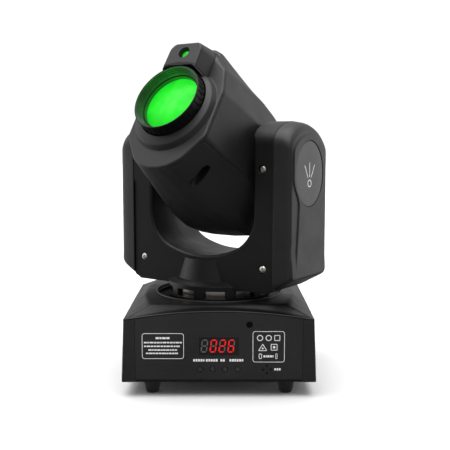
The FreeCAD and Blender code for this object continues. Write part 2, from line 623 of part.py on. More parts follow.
    shaft = fuse([rod((0, 0, 36), (0, 0, 1), YOKE_BOTTOM_Z - 36, SHAFT_R),
                  rod((0, 0, 80.3), (0, 0, 1), YOKE_BOTTOM_Z - 80.3, INNER_RACE_R),
                  tube((0, 0, 73.2), (0, 0, 1), 7.1, INNER_RACE_R, 31.0),
                  rod((0, 0, YOKE_BOTTOM_Z), (0, 0, 1), YOKE_WALL, 29.5)])
    shaft = shaft.cut(rod((0, 0, 30), (0, 0, 1), 60, SHAFT_BORE_R))
    save("pan_shaft", shaft, yoke_frame)
    big = pulley(PAN_PULLEY_R, SHAFT_R, 8.0)
    big.translate(V(0, 0, PAN_BELT_Z[0] - 1.0))
    hub_ring = tube((0, 0, 40), (0, 0, 1), 6.0, 17.0, SHAFT_R)
    save("pan_pulley", fuse([big, hub_ring]), yoke_frame)

    half = MOTOR_SIDE / 2
    z = TILT_MOTOR_Z
    motor = fuse([box(58.6, CHASSIS_X - CHASSIS_T, -half, half, z - half, z + half),
                  rod((72.8, 0, z), (1, 0, 0), 3.2, 10.9), rod((72.8, 0, z), (1, 0, 0), 13.0, 2.45)])
    save("tilt_motor", motor, yoke_frame)
    small = aim(pulley(TILT_MOTOR_PULLEY_R, 2.5, 7.0), (1, 0, 0), (TILT_BELT_X[0] - 1.0, 0, z))
    save("tilt_motor_pulley", small, yoke_frame)
    belt = belt_loop((0, 0), TILT_PULLEY_R + 0.35, (0, z - TILT_AXIS_Z), TILT_MOTOR_PULLEY_R + 0.35, 0.9,
                     TILT_BELT_X[1] - TILT_BELT_X[0])
    upright = FreeCAD.Rotation(V(0, 1, 0), V(0, 0, 1), V(1, 0, 0), "XYZ")
    belt.Placement = FreeCAD.Placement(V(TILT_BELT_X[0], 0, TILT_AXIS_Z), upright)
    save("tilt_belt", belt, yoke_frame)

    bearing = fuse([rod((69.0, 0, TILT_AXIS_Z), (1, 0, 0), 7.5, BEARING_R),
                    rod((CHASSIS_X, 0, TILT_AXIS_Z), (1, 0, 0), 1.7, BEARING_R + 2.5)])
    bearing = bearing.cut(rod((60, 0, TILT_AXIS_Z), (1, 0, 0), 30, BEARING_BORE_R))
    save("tilt_bearings", Part.makeCompound([bearing, mirror_x(bearing)]), yoke_frame)


def aimed_ellipse(half_h, half_w, x, depth):
    """Upright elliptical disc on the outer face of the right arm, from x outwards."""
    curve = Part.Ellipse(V(x, 0, TILT_AXIS_Z + half_h), V(x, half_w, TILT_AXIS_Z), V(x, 0, TILT_AXIS_Z))
    return Part.Face(Part.Wire(curve.toShape())).extrude(V(depth, 0, 0))


# ---------------------------------------------------------------- head

def head_solid(depth, front_s, rear_s):
    """The eight-sided head body, shrunk by depth, between two stations."""
    wires = []
    for s, half in HEAD_STATIONS:
        wires.append(polygon([(u, -s, v) for u, v in inset(mirrored(half), depth)]))
    return loft(wires).common(box(-70, 70, -front_s, -rear_s, -80, 100))


def beam(s0, s1, radius, u=0.0, v=LENS_V):
    return rod((u, -s1, v), (0, 1, 0), s1 - s0, radius)


def hump_solid(shrink, front_s):
    near = [(13.0, 67.0), (20.5, 62.0), (25.5, 42.0)]
    far = [(12.4, 66.0), (16.2, 61.0), (16.6, 42.0)]
    wires = []
    for s, half in ((BEZEL_S - 1.0, near), (front_s, far)):
        ring = inset(mirrored(half), shrink)
        wires.append(polygon([(u, -s, v) for u, v in ring]))
    return loft(wires)


def build_head():
    body = head_solid(0.0, BEZEL_REAR_S, CAP_FRONT_S)
    hollow = head_solid(HEAD_WALL, BEZEL_REAR_S + 1, CAP_FRONT_S - 1)
    shell = body.cut(hollow)
    shell = shell.cut(rod((-60, 0, 0), (1, 0, 0), 120, AXLE_BORE_R))
    split_v = -18.0
    pocket_u, pocket_s = 27.0, 47.0
    post = rod((pocket_u, -pocket_s, -46), (0, 0, 1), 46 + split_v, 5.2)
    post = post.common(head_solid(0.2, BEZEL_REAR_S, CAP_FRONT_S))
    lower = shell.common(box(-70, 70, -200, 200, -100, split_v)).fuse([post, mirror_x(post)])
    slot = fuse([rod((pocket_u, -pocket_s, -60), (0, 0, 1), 36, 3.4),
                 rod((pocket_u, -pocket_s - 9, -60), (0, 0, 1), 20, 3.4),
                 box(pocket_u - 3.4, pocket_u + 3.4, -pocket_s - 9, -pocket_s, -60, -40)])
    hole = rod((pocket_u, -pocket_s, -60), (0, 0, 1), 60, 1.5)
    for cutter in (slot, hole, mirror_x(slot), mirror_x(hole)):
        lower = lower.cut(cutter)
    save("head_cover_lower", lower.removeSplitter(), head_frame)
    upper = shell.common(box(-70, 70, -200, 200, split_v, 100))
    boss = rod((pocket_u, -pocket_s, split_v), (0, 0, 1), 20, 4.5)
    web = box(pocket_u, 46, -pocket_s - 1, -pocket_s + 1, split_v, split_v + 11.5)
    web = web.common(head_solid(0.4, BEZEL_REAR_S, CAP_FRONT_S))
    boss = fuse([boss, web]).cut(rod((pocket_u, -pocket_s, split_v - 1), (0, 0, 1), 14, 1.5))
    upper = upper.fuse([boss, mirror_x(boss)]).removeSplitter()
    save("head_cover_upper", upper, head_frame)
    bolt = aim(screw(2.9, 2.0, 1.5, 15.0), (0, 0, -1), (pocket_u, -pocket_s, -24.0))
    save("head_screws", Part.makeCompound([bolt, mirror_x(bolt)]), head_frame)

    hump = hump_solid(0.0, HUMP_S).cut(beam(BEZEL_S - 2, HUMP_S + 1, SLEEVE_R))
    foot = Part.Wire(Part.makeCircle(COLLAR_FOOT_R, V(0, -BEZEL_S, COLLAR_LIP_V), V(0, 1, 0)))
    lip = Part.Wire(Part.makeCircle(COLLAR_LIP_R, V(0, -COLLAR_LIP_S, COLLAR_LIP_V), V(0, 1, 0)))
    brim = Part.Wire(Part.makeCircle(SLEEVE_BORE_R + 0.6, V(0, -COLLAR_TOP_S, LENS_V), V(0, 1, 0)))
    collar = fuse([loft([foot, lip]), loft([lip, brim])])
    relief = beam(BEZEL_REAR_S - 1, COLLAR_LIP_S - 2.5, COLLAR_LIP_R - 0.5, 0.0, COLLAR_LIP_V)
    sleeve = beam(70.5, COLLAR_LIP_S, SLEEVE_R)
    bezel = fuse([head_solid(0.0, BEZEL_S, BEZEL_REAR_S), collar]).cut(relief)
    bezel = fuse([bezel, hump, sleeve]).cut(beam(60, 100, SLEEVE_BORE_R))
    window_hole = beam(92.5, HUMP_S + 1, 5.0, 0.0, APERTURE_V)
    bezel = bezel.cut(window_hole).cut(beam(70, 93, 3.9, 0.0, APERTURE_V))
    save("head_bezel", bezel, head_frame)
    save("aperture_window", beam(90.5, 94.0, 3.85, 0.0, APERTURE_V), head_frame)

    cap = head_solid(0.0, CAP_FRONT_S, TAIL_S)
    cap = cap.cut(head_solid(HEAD_WALL, CAP_FRONT_S + 1, TAIL_S + 2.2))
    for i in range(-5, 6):
        slot = box(i * 5.2 - 1.4, i * 5.2 + 1.4, -TAIL_S - 4, -TAIL_S + 2, LENS_V - 4 - 24, LENS_V - 4 + 24)
        round_off = beam(TAIL_S - 3, TAIL_S + 5, 26.5, 0.0, LENS_V - 4)
        cap = cap.cut(slot.common(round_off))
    save("rear_cap", cap, head_frame)

    ring = fuse([beam(RING_REAR_S, RING_FRONT_S, RING_R), beam(RING_REAR_S, RING_REAR_S + 1.2, 33.4)])
    mouth_s = LENS_FRONT_S + 2.2
    flare = Part.makeCone(RING_MOUTH_R, RING_BORE_R, RING_FRONT_S - mouth_s, V(0, -RING_FRONT_S, LENS_V), V(0, 1, 0))
    ring = ring.cut(beam(RING_REAR_S - 1, mouth_s + 0.01, RING_BORE_R)).cut(flare)
    slope = (RING_MOUTH_R - RING_BORE_R) / (RING_FRONT_S - mouth_s)
    grooves = [beam(s, s + 0.6, RING_BORE_R + 0.9 + slope * (s - mouth_s)) for s in (92.3, 93.6, 94.9)]
    ring = ring.cut(Part.makeCompound(grooves))
    notch = box(-1.0, 1.0, -96.2, -COLLAR_TOP_S - 0.6, RING_R + LENS_V - 0.7, RING_R + LENS_V + 1)
    for cutter in ring_of(notch, RING_RIBS, (0, 0, LENS_V), (0, 1, 0)):
        ring = ring.cut(cutter)
    save("focus_ring", ring.removeSplitter(), head_frame)

    barrel = beam(60, LENS_FRONT_S, 26.6).cut(beam(59, 92, 24.6))
    barrel = barrel.cut(beam(LENS_FRONT_S - 5.8, 92.0, 25.4))
    save("lens_barrel", barrel, head_frame)
    bulge = 95.0
    dome = Part.makeSphere(bulge, V(0, -(LENS_FRONT_S - 0.2 - bulge), LENS_V))
    lens = beam(LENS_FRONT_S - 5.8, LENS_FRONT_S, 25.3).common(dome)
    save("front_lens", lens, head_frame)

    rail = []
    for sx in (-1, 1):
        x0, x1 = sorted((sx * 34.0, sx * 36.0))
        rail.append(box(x0, x1, -64, 22, -6, 30))
    guide = beam(52, 68, 29.4)
    webs = [box(-36, 36, -54, -52, -17, 41)]
    plates = [box(-36, 36, -COLOUR_S + 1.2, -COLOUR_S + 2.6, -40, 30), box(-36, 36, -27.6, -26.2, -6, 58)]
    frame = fuse(rail + [guide] + webs + plates)
    frame = frame.cut(beam(40, 70, 26.7)).cut(beam(0, 60, 8.5)).cut(beam(10, 20, 4.0, 0, COLOUR_AXIS_V))
    frame = frame.cut(beam(22, 30, 4.0, 0, GOBO_AXIS_V))
    hanger = [box(x - 3, x + 3, -64, 22, 29, 33) for x in (-35, 35)]
    frame = fuse([frame] + hanger).common(head_solid(HEAD_WALL + 0.4, BEZEL_S, CAP_FRONT_S))
    save("optics_frame", frame, head_frame)

    for name, s, v in (("colour_wheel", COLOUR_S, COLOUR_AXIS_V), ("gobo_wheel", GOBO_S, GOBO_AXIS_V)):
        wheel = beam(s, s + 1.0, WHEEL_R, 0, v)
        toward = 1 if v < LENS_V else -1
        hole = beam(s - 1, s + 2, 5.2, 0, v + toward * WHEEL_HOLE_PCD_R)
        holes = ring_of(hole, WHEEL_HOLES, (0, 0, v), (0, 1, 0))
        wheel = wheel.cut(Part.makeCompound(holes))
        if name == "gobo_wheel":
            bars = [box(-5.6, 5.6, -s - 1, -s, v - WHEEL_HOLE_PCD_R + dz - 0.5, v - WHEEL_HOLE_PCD_R + dz + 0.5)
                    for dz in (-2.4, 0, 2.4)]
            patterns = [fuse(ring_of(bars[1], i, (0, 0, v - WHEEL_HOLE_PCD_R), (0, 1, 0))).copy()
                        for i in (1, 2, 3)]
            for i, pattern in enumerate(patterns + [fuse(bars)]):
                pattern.rotate(V(0, 0, v), V(0, 1, 0), 45.0 * (i + 1))
                wheel = wheel.fuse(pattern)
            hub = beam(s + 1.0, s + 2.6, 5.0, 0, v)
        else:
            hub = beam(s - 0.9, s, 3.8, 0, v)
        wheel = wheel.fuse(hub).cut(beam(s - 5, s + 6, 1.55, 0, v)).removeSplitter()
        save(name, wheel, head_frame)
    filters = ring_of(beam(COLOUR_S + 1.0, COLOUR_S + 1.5, 6.0, 0, COLOUR_AXIS_V + WHEEL_HOLE_PCD_R),
                      WHEEL_HOLES, (0, 0, COLOUR_AXIS_V), (0, 1, 0))
    save("colour_filters", Part.makeCompound(filters[:-1]), head_frame)
    motor = beam(4.0, COLOUR_S - 2.6, 8.2, 0, COLOUR_AXIS_V).fuse(beam(4.0, COLOUR_S + 0.8, 1.5, 0, COLOUR_AXIS_V))
    save("colour_motor", motor.removeSplitter(), head_frame)
    motor = beam(27.6, 40.0, 9.5, 0, GOBO_AXIS_V).fuse(beam(GOBO_S + 0.2, 40.0, 1.5, 0, GOBO_AXIS_V))
    save("gobo_motor", motor.removeSplitter(), head_frame)

    led = fuse([box(-18, 18, -2, 0, LENS_V - 18, LENS_V + 18), box(-4.5, 4.5, -3.6, -2, LENS_V - 4.5, LENS_V + 4.5),
                beam(2, 12.5, 11.0).cut(beam(1, 11.0, 9.6)).cut(beam(4, 14, 8.0)).cut(
                    beam(0, 20, 9.0, 0, COLOUR_AXIS_V)), beam(9.6, 11.0, 9.7)])
    save("led_module", led, head_frame)
    sink = [box(-30, 30, 0, 4, -20, 40)]
    for i in range(-5, 6):
        sink.append(box(i * 5.6 - 0.7, i * 5.6 + 0.7, 4, 19, -20, 40))
    save("heat_sink", fuse(sink), head_frame)

    fan_v = LENS_V - 4
    shroud = box(-30, 30, 21, 33, fan_v - 30, fan_v + 30).cut(beam(-34, -20, FAN_R + 1.2, 0, fan_v))
    spokes = []
    for arm in ring_of(box(-1.2, 1.2, 21, 22.4, fan_v + 5, fan_v + FAN_R + 3), 4, (0, 0, fan_v), (0, 1, 0), 45):
        spokes.append(arm)
    hub = beam(-22.4, -21, 9.0, 0, fan_v)
    axle = beam(-31, -21, 1.5, 0, fan_v)
    save("fan_frame", fuse([shroud, hub, axle] + spokes), head_frame)
    blade = slab([(-1.5, 24, fan_v + 10), (7.0, 31, fan_v + 10), (7.9, 31, fan_v + 10), (-0.6, 24, fan_v + 10)],
                 (0, 0, FAN_R - 10.5))
    rotor = [tube((0, 23.0, fan_v), (0, 1, 0), 9.0, 11.0, 1.55)]
    rotor += ring_of(blade, FAN_BLADES, (0, 0, fan_v), (0, 1, 0))
    save("fan_rotor", fuse(rotor).common(beam(-32.5, -22.8, FAN_R, 0, fan_v)), head_frame)

    flange_x = 49.0
    left = fuse([rod((flange_x, 0, 0), (1, 0, 0), 2.6, 16.0), rod((flange_x, 0, 0), (1, 0, 0), 28.5, AXLE_R)])
    right = fuse([rod((flange_x, 0, 0), (1, 0, 0), 2.6, 16.0), rod((flange_x, 0, 0), (1, 0, 0), 37.5, AXLE_R)])
    bore = rod((flange_x - 5, 0, 0), (1, 0, 0), 60, AXLE_BORE_R)
    save("tilt_axle_right", right.cut(bore), head_frame)
    save("tilt_axle_left", mirror_x(left.cut(bore)), head_frame)
    wheel = aim(pulley(TILT_PULLEY_R, AXLE_R, 7.0), (1, 0, 0), (TILT_BELT_X[0] - 1.0, 0, 0))
    save("tilt_pulley", wheel, head_frame)


os.makedirs("parts", exist_ok=True)
build_base()
build_yoke()
build_head()
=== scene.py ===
# Looks of a small moving head stage light, built round its fixed bodies and nodes.
# Shapes are drawn in millimetres in the local frame of their body (base, yoke or head) and
# then placed in the row frame in metres. Heights are above the floor. In the head, u runs
# across, v up, and s along the beam from the tilt axis.
from math import asin, atan2, cos, hypot, pi, radians, sin, sqrt

import bmesh
import bpy
from mathutils import Matrix, Vector


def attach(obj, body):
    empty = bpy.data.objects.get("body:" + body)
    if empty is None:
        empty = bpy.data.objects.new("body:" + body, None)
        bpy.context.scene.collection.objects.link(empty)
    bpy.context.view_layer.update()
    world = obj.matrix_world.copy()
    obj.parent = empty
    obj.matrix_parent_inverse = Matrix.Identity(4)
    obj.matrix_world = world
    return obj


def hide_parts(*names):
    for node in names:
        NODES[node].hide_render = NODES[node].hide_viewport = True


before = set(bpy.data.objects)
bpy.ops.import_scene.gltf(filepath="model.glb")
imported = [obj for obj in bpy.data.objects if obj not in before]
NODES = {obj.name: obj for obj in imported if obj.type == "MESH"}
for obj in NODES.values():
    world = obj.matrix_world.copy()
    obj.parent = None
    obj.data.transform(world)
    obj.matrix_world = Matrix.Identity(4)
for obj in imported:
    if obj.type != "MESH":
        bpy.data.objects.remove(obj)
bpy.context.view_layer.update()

# ---- frames of the three main bodies ----
MM = 0.001
ORIGIN_HEIGHT = 13.0
TILT_HEIGHT = 182.6
PAN_REST = radians(-35.0)
TILT_REST = radians(33.0)
AT_BASE = Matrix.Scale(MM, 4) @ Matrix.Translation((0, 0, -ORIGIN_HEIGHT))
AT_YOKE = AT_BASE @ Matrix.Rotation(PAN_REST, 4, "Z")
AT_HEAD = AT_YOKE @ Matrix.Translation((0, 0, TILT_HEIGHT)) @ Matrix.Rotation(-TILT_REST, 4, "X")
LENS_V = 12.0


# ---- materials ----

def principled(name, colour, roughness, metallic=0.0, specular=0.5):
    mat = bpy.data.materials.new(name)
    mat.use_nodes = True
    shader = mat.node_tree.nodes["Principled BSDF"]
    shader.inputs["Base Color"].default_value = (*colour, 1.0)
    shader.inputs["Roughness"].default_value = roughness
    shader.inputs["Metallic"].default_value = metallic
    shader.inputs["Specular IOR Level"].default_value = specular
    return mat, shader


def noise(mat, scale, detail=2.0, stretch=(1.0, 1.0, 1.0)):
    nodes, links = mat.node_tree.nodes, mat.node_tree.links
    coords = nodes.new("ShaderNodeTexCoord")
    mapping = nodes.new("ShaderNodeMapping")
    mapping.inputs["Scale"].default_value = stretch
    texture = nodes.new("ShaderNodeTexNoise")
    texture.inputs["Scale"].default_value = scale
    texture.inputs["Detail"].default_value = detail
    links.new(coords.outputs["Object"], mapping.inputs["Vector"])
    links.new(mapping.outputs["Vector"], texture.inputs["Vector"])
    return texture.outputs["Fac"]


NOISE_LOW, NOISE_HIGH = 0.3, 0.7    # most of a noise texture's values lie between these


def spread(mat, value, low, high, start=NOISE_LOW, end=NOISE_HIGH):
    """Number that runs from low to high as value runs from start to end."""
    node = mat.node_tree.nodes.new("ShaderNodeMapRange")
    for socket, number in (("From Min", start), ("From Max", end), ("To Min", low), ("To Max", high)):
        node.inputs[socket].default_value = number
    mat.node_tree.links.new(value, node.inputs["Value"])
    return node.outputs["Result"]


def ramped(mat, value, stops):
    """Colour that runs through stops, a list of (position, colour)."""
    ramp = mat.node_tree.nodes.new("ShaderNodeValToRGB")
    elements = ramp.color_ramp.elements
    for element, (position, colour) in zip(elements, (stops[0], stops[-1])):
        element.position, element.color = position, (*colour, 1.0)
    for position, colour in stops[1:-1]:
        elements.new(position).color = (*colour, 1.0)
    mat.node_tree.links.new(value, ramp.inputs["Fac"])
    return ramp.outputs["Color"]


def mixed(mat, value, first, second):
    """Colour that runs from first to second over the range of a noise texture."""
    return ramped(mat, value, ((NOISE_LOW, first), (NOISE_HIGH, second)))


def bumped(mat, shader, layers):
    """Stack bump layers (height value, strength, distance in metres) on the shader's normal."""
    nodes, links = mat.node_tree.nodes, mat.node_tree.links
    previous = None
    for height, strength, distance in layers:
        bump = nodes.new("ShaderNodeBump")
        bump.inputs["Strength"].default_value = strength
        bump.inputs["Distance"].default_value = distance
        links.new(height, bump.inputs["Height"])
        if previous is not None:
            links.new(previous, bump.inputs["Normal"])
        previous = bump.outputs["Normal"]
    links.new(previous, shader.inputs["Normal"])


def shade(colour, factor):
    return tuple(channel * factor for channel in colour)


def grained(name, colour, roughness, grain=0.22, grain_size=1500.0, specular=0.5, vary=0.18):
    """Moulded plastic: fine spark-eroded grain, slow tone and gloss variation."""
    mat, shader = principled(name, colour, roughness, specular=specular)
    links = mat.node_tree.links
    slow = noise(mat, 22.0, 3.0)
    tone = mixed(mat, slow, shade(colour, 1.0 - vary), shade(colour, 1.0 + vary))
    links.new(tone, shader.inputs["Base Color"])
    gloss = noise(mat, 70.0, 4.0)
    links.new(spread(mat, gloss, roughness - 0.035, roughness + 0.045), shader.inputs["Roughness"])
    fine = noise(mat, grain_size, 2.0)
    coarse = noise(mat, grain_size * 0.35, 3.0)
    bumped(mat, shader, [(fine, grain, 0.00006), (coarse, grain * 0.6, 0.0001)])
    return mat


def metal(name, colour, roughness, stretch=(1.0, 1.0, 1.0), scale=500.0):
    """Metal with fine streaks along the directions that stretch leaves long."""
    mat, shader = principled(name, colour, roughness, metallic=1.0)
    links = mat.node_tree.links
    streak = noise(mat, scale, 4.0, stretch)
    links.new(spread(mat, streak, roughness * 0.75, roughness * 1.3), shader.inputs["Roughness"])
    tone = mixed(mat, noise(mat, 60.0, 3.0), shade(colour, 0.86), shade(colour, 1.06))
    links.new(tone, shader.inputs["Base Color"])
    bumped(mat, shader, [(streak, 0.12, 0.00004)])
    return mat


def glowing(name, colour, strength, base, roughness, low=0.75, scale=120.0):
    """Lit surface whose brightness drifts between low and full."""
    mat, shader = principled(name, base, roughness)
    shader.inputs["Emission Strength"].default_value = strength
    drift = mixed(mat, noise(mat, scale, 3.0), shade(colour, low), colour)
    mat.node_tree.links.new(drift, shader.inputs["Emission Color"])
    bumped(mat, shader, [(noise(mat, 900.0), 0.05, 0.00005)])
    return mat


BLACK = (0.0115, 0.0115, 0.012)
FINISH = {
    "shell": (grained("shell_plastic", BLACK, 0.43), "shell_black"),
    # yoke: the arm covers' plastic darkened, painted shade on the yoke's front, top and inside the U
    "yoke": (grained("yoke_plastic_painted_shade", shade(BLACK, 0.4), 0.42, specular=0.4), "cover_black"),
    "arm": (grained("arm_cover_plastic", shade(BLACK, 1.05), 0.42), "cover_black"),
    # top cover: the black plastic darkened, painted shade from the yoke and head above
    "deck_painted_shade": (grained("deck_plastic_painted_shade", shade(BLACK, 0.3), 0.38, specular=0.42), "shell_black"),
    # inside the turntable recess: the black plastic darkened further, painted shade in the recess
    "recess_painted_shade": (grained("recess_plastic_painted_shade", shade(BLACK, 0.15), 0.5, specular=0.12), "shell_black"),
    "panel": (grained("panel_plastic", shade(BLACK, 1.25), 0.5, grain=0.3), "panel_black"),
    "cap": (grained("key_plastic", shade(BLACK, 2.2), 0.38), "key_black"),
    "badge": (grained("badge_plate", shade(BLACK, 2.4), 0.3, grain=0.08), "badge_black"),
    "ring": (grained("ring_plastic", shade(BLACK, 0.3), 0.36, grain=0.12, specular=0.25), "ring_black"),
    "connector": (grained("connector_plastic", BLACK, 0.36, grain=0.12), "connector_black"),
    "rubber": (grained("foot_rubber", (0.016, 0.016, 0.016), 0.72, grain=0.4), "rubber"),
    "fan": (grained("fan_plastic", shade(BLACK, 0.9), 0.4), "fan_plastic"),
    "belt": (grained("belt_rubber", (0.014, 0.014, 0.014), 0.65, grain=0.4), "belt_rubber"),
    "glass_dark": (grained("dark_window", (0.001, 0.0008, 0.001), 0.1, grain=0.02, specular=0.2),
                   "window_dark"),
    "display": (grained("display_glass", (0.010, 0.007, 0.008), 0.2, grain=0.02), "display_dark"),
    "board": (grained("board_green", (0.01, 0.07, 0.03), 0.4, grain=0.1), "board_green"),
    "screw": (metal("screw_nickel", (0.9, 0.86, 0.79), 0.34), "screw_zinc"),
    "plated": (metal("plated_steel", (0.52, 0.51, 0.49), 0.34), "plated_steel"),
    "bearing": (metal("bearing_steel", (0.58, 0.54, 0.5), 0.22, (1, 1, 30.0)), "bearing_steel"),
    "aluminium": (metal("turned_aluminium", (0.72, 0.72, 0.73), 0.3), "aluminium"),
    "wheel": (metal("wheel_aluminium", (0.6, 0.6, 0.61), 0.4), "wheel_aluminium"),
    "tray": (metal("tray_steel", (0.05, 0.05, 0.052), 0.45), "tray_steel"),
    "motor": (metal("motor_steel", (0.32, 0.32, 0.33), 0.4), "motor_steel"),
    "filter": (glowing("filter_glass", (0.02, 0.4, 0.05), 0.2, (0.1, 0.4, 0.15), 0.1), "filter_glass"),
    "aperture": (glowing("aperture_glow", (0.012, 0.72, 0.02), 1.0, (0.0, 0.05, 0.0), 0.25, 0.5, 260.0),
                 "aperture_green"),
    "print": (grained("white_print", (0.72, 0.72, 0.72), 0.55, grain=0.1, vary=0.05), "panel_black"),
    "faint": (grained("grey_print", (0.10, 0.10, 0.10), 0.5, grain=0.1, vary=0.05), "display_dark"),
    "lit": (glowing("lit_segment", (0.95, 0.012, 0.012), 1.0, (0.1, 0.0, 0.0), 0.3, 0.8, 400.0),
            "display_dark"),
    # painted green light of the lamp, on the focus ring's thread and the lens's retaining rim
    "painted_green_light": (glowing("thread_painted_green_light", (0.008, 0.16, 0.012), 1.0, BLACK, 0.35, 0.35, 60.0), "ring_black"),
}


# ---- mesh helpers ----

SHARP = 32.0     # degrees; edges that turn by more stay sharp
MERGE = 0.0005   # millimetres; points nearer than this become one


def new_object(name, bm, at):
    """Object of a shape drawn in millimetres, placed by the matrix at."""
    bmesh.ops.recalc_face_normals(bm, faces=bm.faces)
    mesh = bpy.data.meshes.new(name)
    bm.to_mesh(mesh)
    bm.free()
    mesh.transform(at)
    obj = bpy.data.objects.new(name, mesh)
    bpy.context.scene.collection.objects.link(obj)
    return obj


def smoothed(mesh, sharp=SHARP):
    mesh.polygons.foreach_set("use_smooth", [True] * len(mesh.polygons))
    mesh.set_sharp_from_angle(angle=radians(sharp))


def run_on(obj, operator, **settings):
    with bpy.context.temp_override(object=obj, active_object=obj):
        operator(**settings)


def add_piece(name, bm, at, body, finish, stands_for=(), sharp=SHARP, weighted=True):
    """Turn a shape drawn in millimetres into a named piece that rides on a body."""
    mat, slot = FINISH[finish]
    obj = new_object(name, bm, at)
    smoothed(obj.data, sharp)
    obj.data.materials.append(mat)
    if weighted:
        modifier = obj.modifiers.new("flat_faces", "WEIGHTED_NORMAL")
        modifier.keep_sharp = True
    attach(obj, body)
    if stands_for:
        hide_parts(*stands_for)
    return obj


def stitch(bm, rings, cap_start=False, cap_end=False):
    """Quads between successive closed rings, which all have the same number of points."""
    rows = [[bm.verts.new(point) for point in ring] for ring in rings]
    count = len(rows[0])
    for lower, upper in zip(rows, rows[1:]):
        for i in range(count):
            j = (i + 1) % count
            bm.faces.new((lower[i], lower[j], upper[j], upper[i]))
    if cap_start:
        bm.faces.new(list(reversed(rows[0])))
    if cap_end:
        bm.faces.new(rows[-1])


def solid(bm, rings):
    """Closed solid with its first and last rings filled."""
    stitch(bm, rings, cap_start=True, cap_end=True)


def merge(bm, distance=MERGE):
    bmesh.ops.remove_doubles(bm, verts=bm.verts, dist=distance)


def thicken(obj, millimetres):
    """Give an open skin its wall, on the inside, ahead of the other modifiers."""
    modifier = obj.modifiers.new("wall", "SOLIDIFY")
    modifier.thickness = millimetres * MM
    modifier.offset = -1.0
    run_on(obj, bpy.ops.object.modifier_move_to_index, modifier=modifier.name, index=0)


def rounded(points, radius, steps=5):
    """Polygon with each corner replaced by a smooth curve that starts up to radius before it."""
    result = []
    count = len(points)
    for i, corner in enumerate(points):
        here = Vector(corner)
        before = Vector(points[i - 1]) - here
        after = Vector(points[(i + 1) % count]) - here
        reach = radius[i] if isinstance(radius, (list, tuple)) else radius
        reach = min(reach, before.length * 0.48, after.length * 0.48)
        start, end = here + before.normalized() * reach, here + after.normalized() * reach
        for k in range(steps + 1):
            t = k / steps
            result.append(start * (1 - t) ** 2 + here * 2 * t * (1 - t) + end * t ** 2)
    return result


def laid(outline, depth, plane):
    """Points of a 2-D outline in the xz or yz plane at a depth."""
    return [(a, depth, b) if plane == "xz" else (depth, a, b) for a, b in outline]


def prism(bm, outline, y0, y1, plane="xz"):
    """Closed flat prism of a 2-D outline between two depths."""
    solid(bm, [laid(outline, y0, plane), laid(outline, y1, plane)])


def frame_strip(bm, outline, width, y0, y1, plane="xz"):
    """Closed band of a given width just inside a convex outline."""
    inner = inset_outline(outline, width)
    stitch(bm, [laid(shape, depth, plane) for shape, depth in
                ((outline, y0), (outline, y1), (inner, y1), (inner, y0), (outline, y0))])
    merge(bm)


def inset_outline(outline, depth):
    """Move every point of a convex outline towards the inside by depth."""
    if not depth:
        return outline
    area = sum(a[0] * b[1] - b[0] * a[1] for a, b in zip(outline, outline[1:] + outline[:1]))
    sign = 1.0 if area > 0 else -1.0
    moved = []
    count = len(outline)
    for i in range(count):
        before, here = Vector(outline[i - 1]), Vector(outline[i])
        after = Vector(outline[(i + 1) % count])
        n1 = Vector((-(here - before).y, (here - before).x))
        n2 = Vector((-(after - here).y, (after - here).x))
        n1 = n1.normalized() if n1.length > 1e-9 else n2.normalized()
        n2 = n2.normalized() if n2.length > 1e-9 else n1
        middle = (n1 + n2).normalized()
        moved.append(here + middle * (sign * depth / max(0.35, middle.dot(n1))))
    return moved


def box_outline(x0, x1, z0, z1, radius):
    return rounded([(x0, z0), (x1, z0), (x1, z1), (x0, z1)], radius)


def circle(centre, radius, count=48):
    return [Vector((centre[0] + radius * cos(2 * pi * i / count),
                    centre[1] + radius * sin(2 * pi * i / count))) for i in range(count)]


def at_s(outline, s):
    """Points of an outline across the head, placed at s."""
    return [(p.x, -s, p.y) for p in outline]


def turned(profile, centre=(0.0, LENS_V), count=96):
    """Rings of a profile of (radius, s) points about an axis along the beam."""
    return [at_s(circle(centre, radius, count), s) for radius, s in profile]


def lathe(bm, profile, centre=(0.0, LENS_V), count=96, closed=True):
    """Turn a profile of (radius, s) points about an axis along the beam."""
    stitch(bm, turned(profile + (profile[:1] if closed else []), centre, count))
    merge(bm)


def cut(obj, cutters, at):
    """Take closed shapes, drawn in the local frame at, out of obj."""
    for bm in cutters:
        tool = new_object("cutter", bm, at)
        mesh = tool.data
        modifier = obj.modifiers.new("cut", "BOOLEAN")
        modifier.operation = "DIFFERENCE"
        modifier.solver = "EXACT"
        modifier.object = tool
        run_on(obj, bpy.ops.object.modifier_move_to_index, modifier="cut", index=0)
        run_on(obj, bpy.ops.object.modifier_apply, modifier="cut")
        bpy.data.objects.remove(tool)
        bpy.data.meshes.remove(mesh)
    smoothed(obj.data)


NODE_MERGE = 0.002               # millimetres
FLAT = radians(1.0)         # faces nearer to flat than this are joined
CREASE = radians(24.0)      # edges that turn by more are rounded


def refined(node, body, finish, width):
    """The node's own shape with clean faces and edges rounded by width."""
    bm = bmesh.new()
    bm.from_mesh(NODES[node].data)
    bmesh.ops.scale(bm, vec=(1 / MM,) * 3, verts=bm.verts)
    merge(bm, NODE_MERGE)
    bmesh.ops.dissolve_limit(bm, angle_limit=FLAT, verts=bm.verts, edges=bm.edges,
                             use_dissolve_boundaries=False)
    edges = [e for e in bm.edges if e.is_manifold and e.calc_face_angle(0.0) > CREASE]
    if edges:
        bmesh.ops.bevel(bm, geom=edges, offset=width, offset_type="OFFSET", segments=3, profile=0.5,
                        affect="EDGES", clamp_overlap=True, loop_slide=True)
    add_piece(node + "_detail", bm, Matrix.Scale(MM, 4), body, finish, (node,))


# ---- base ----

BASE_HALF_X = 78.0
BASE_HALF_Y = 77.8
EDGE_Z = 65.4
ARCH_Z = 72.5
PLATEAU_Z = 75.2
RECESS_Z = 72.2
FRONT_Y = -77.8
RECESS_R = 56.0
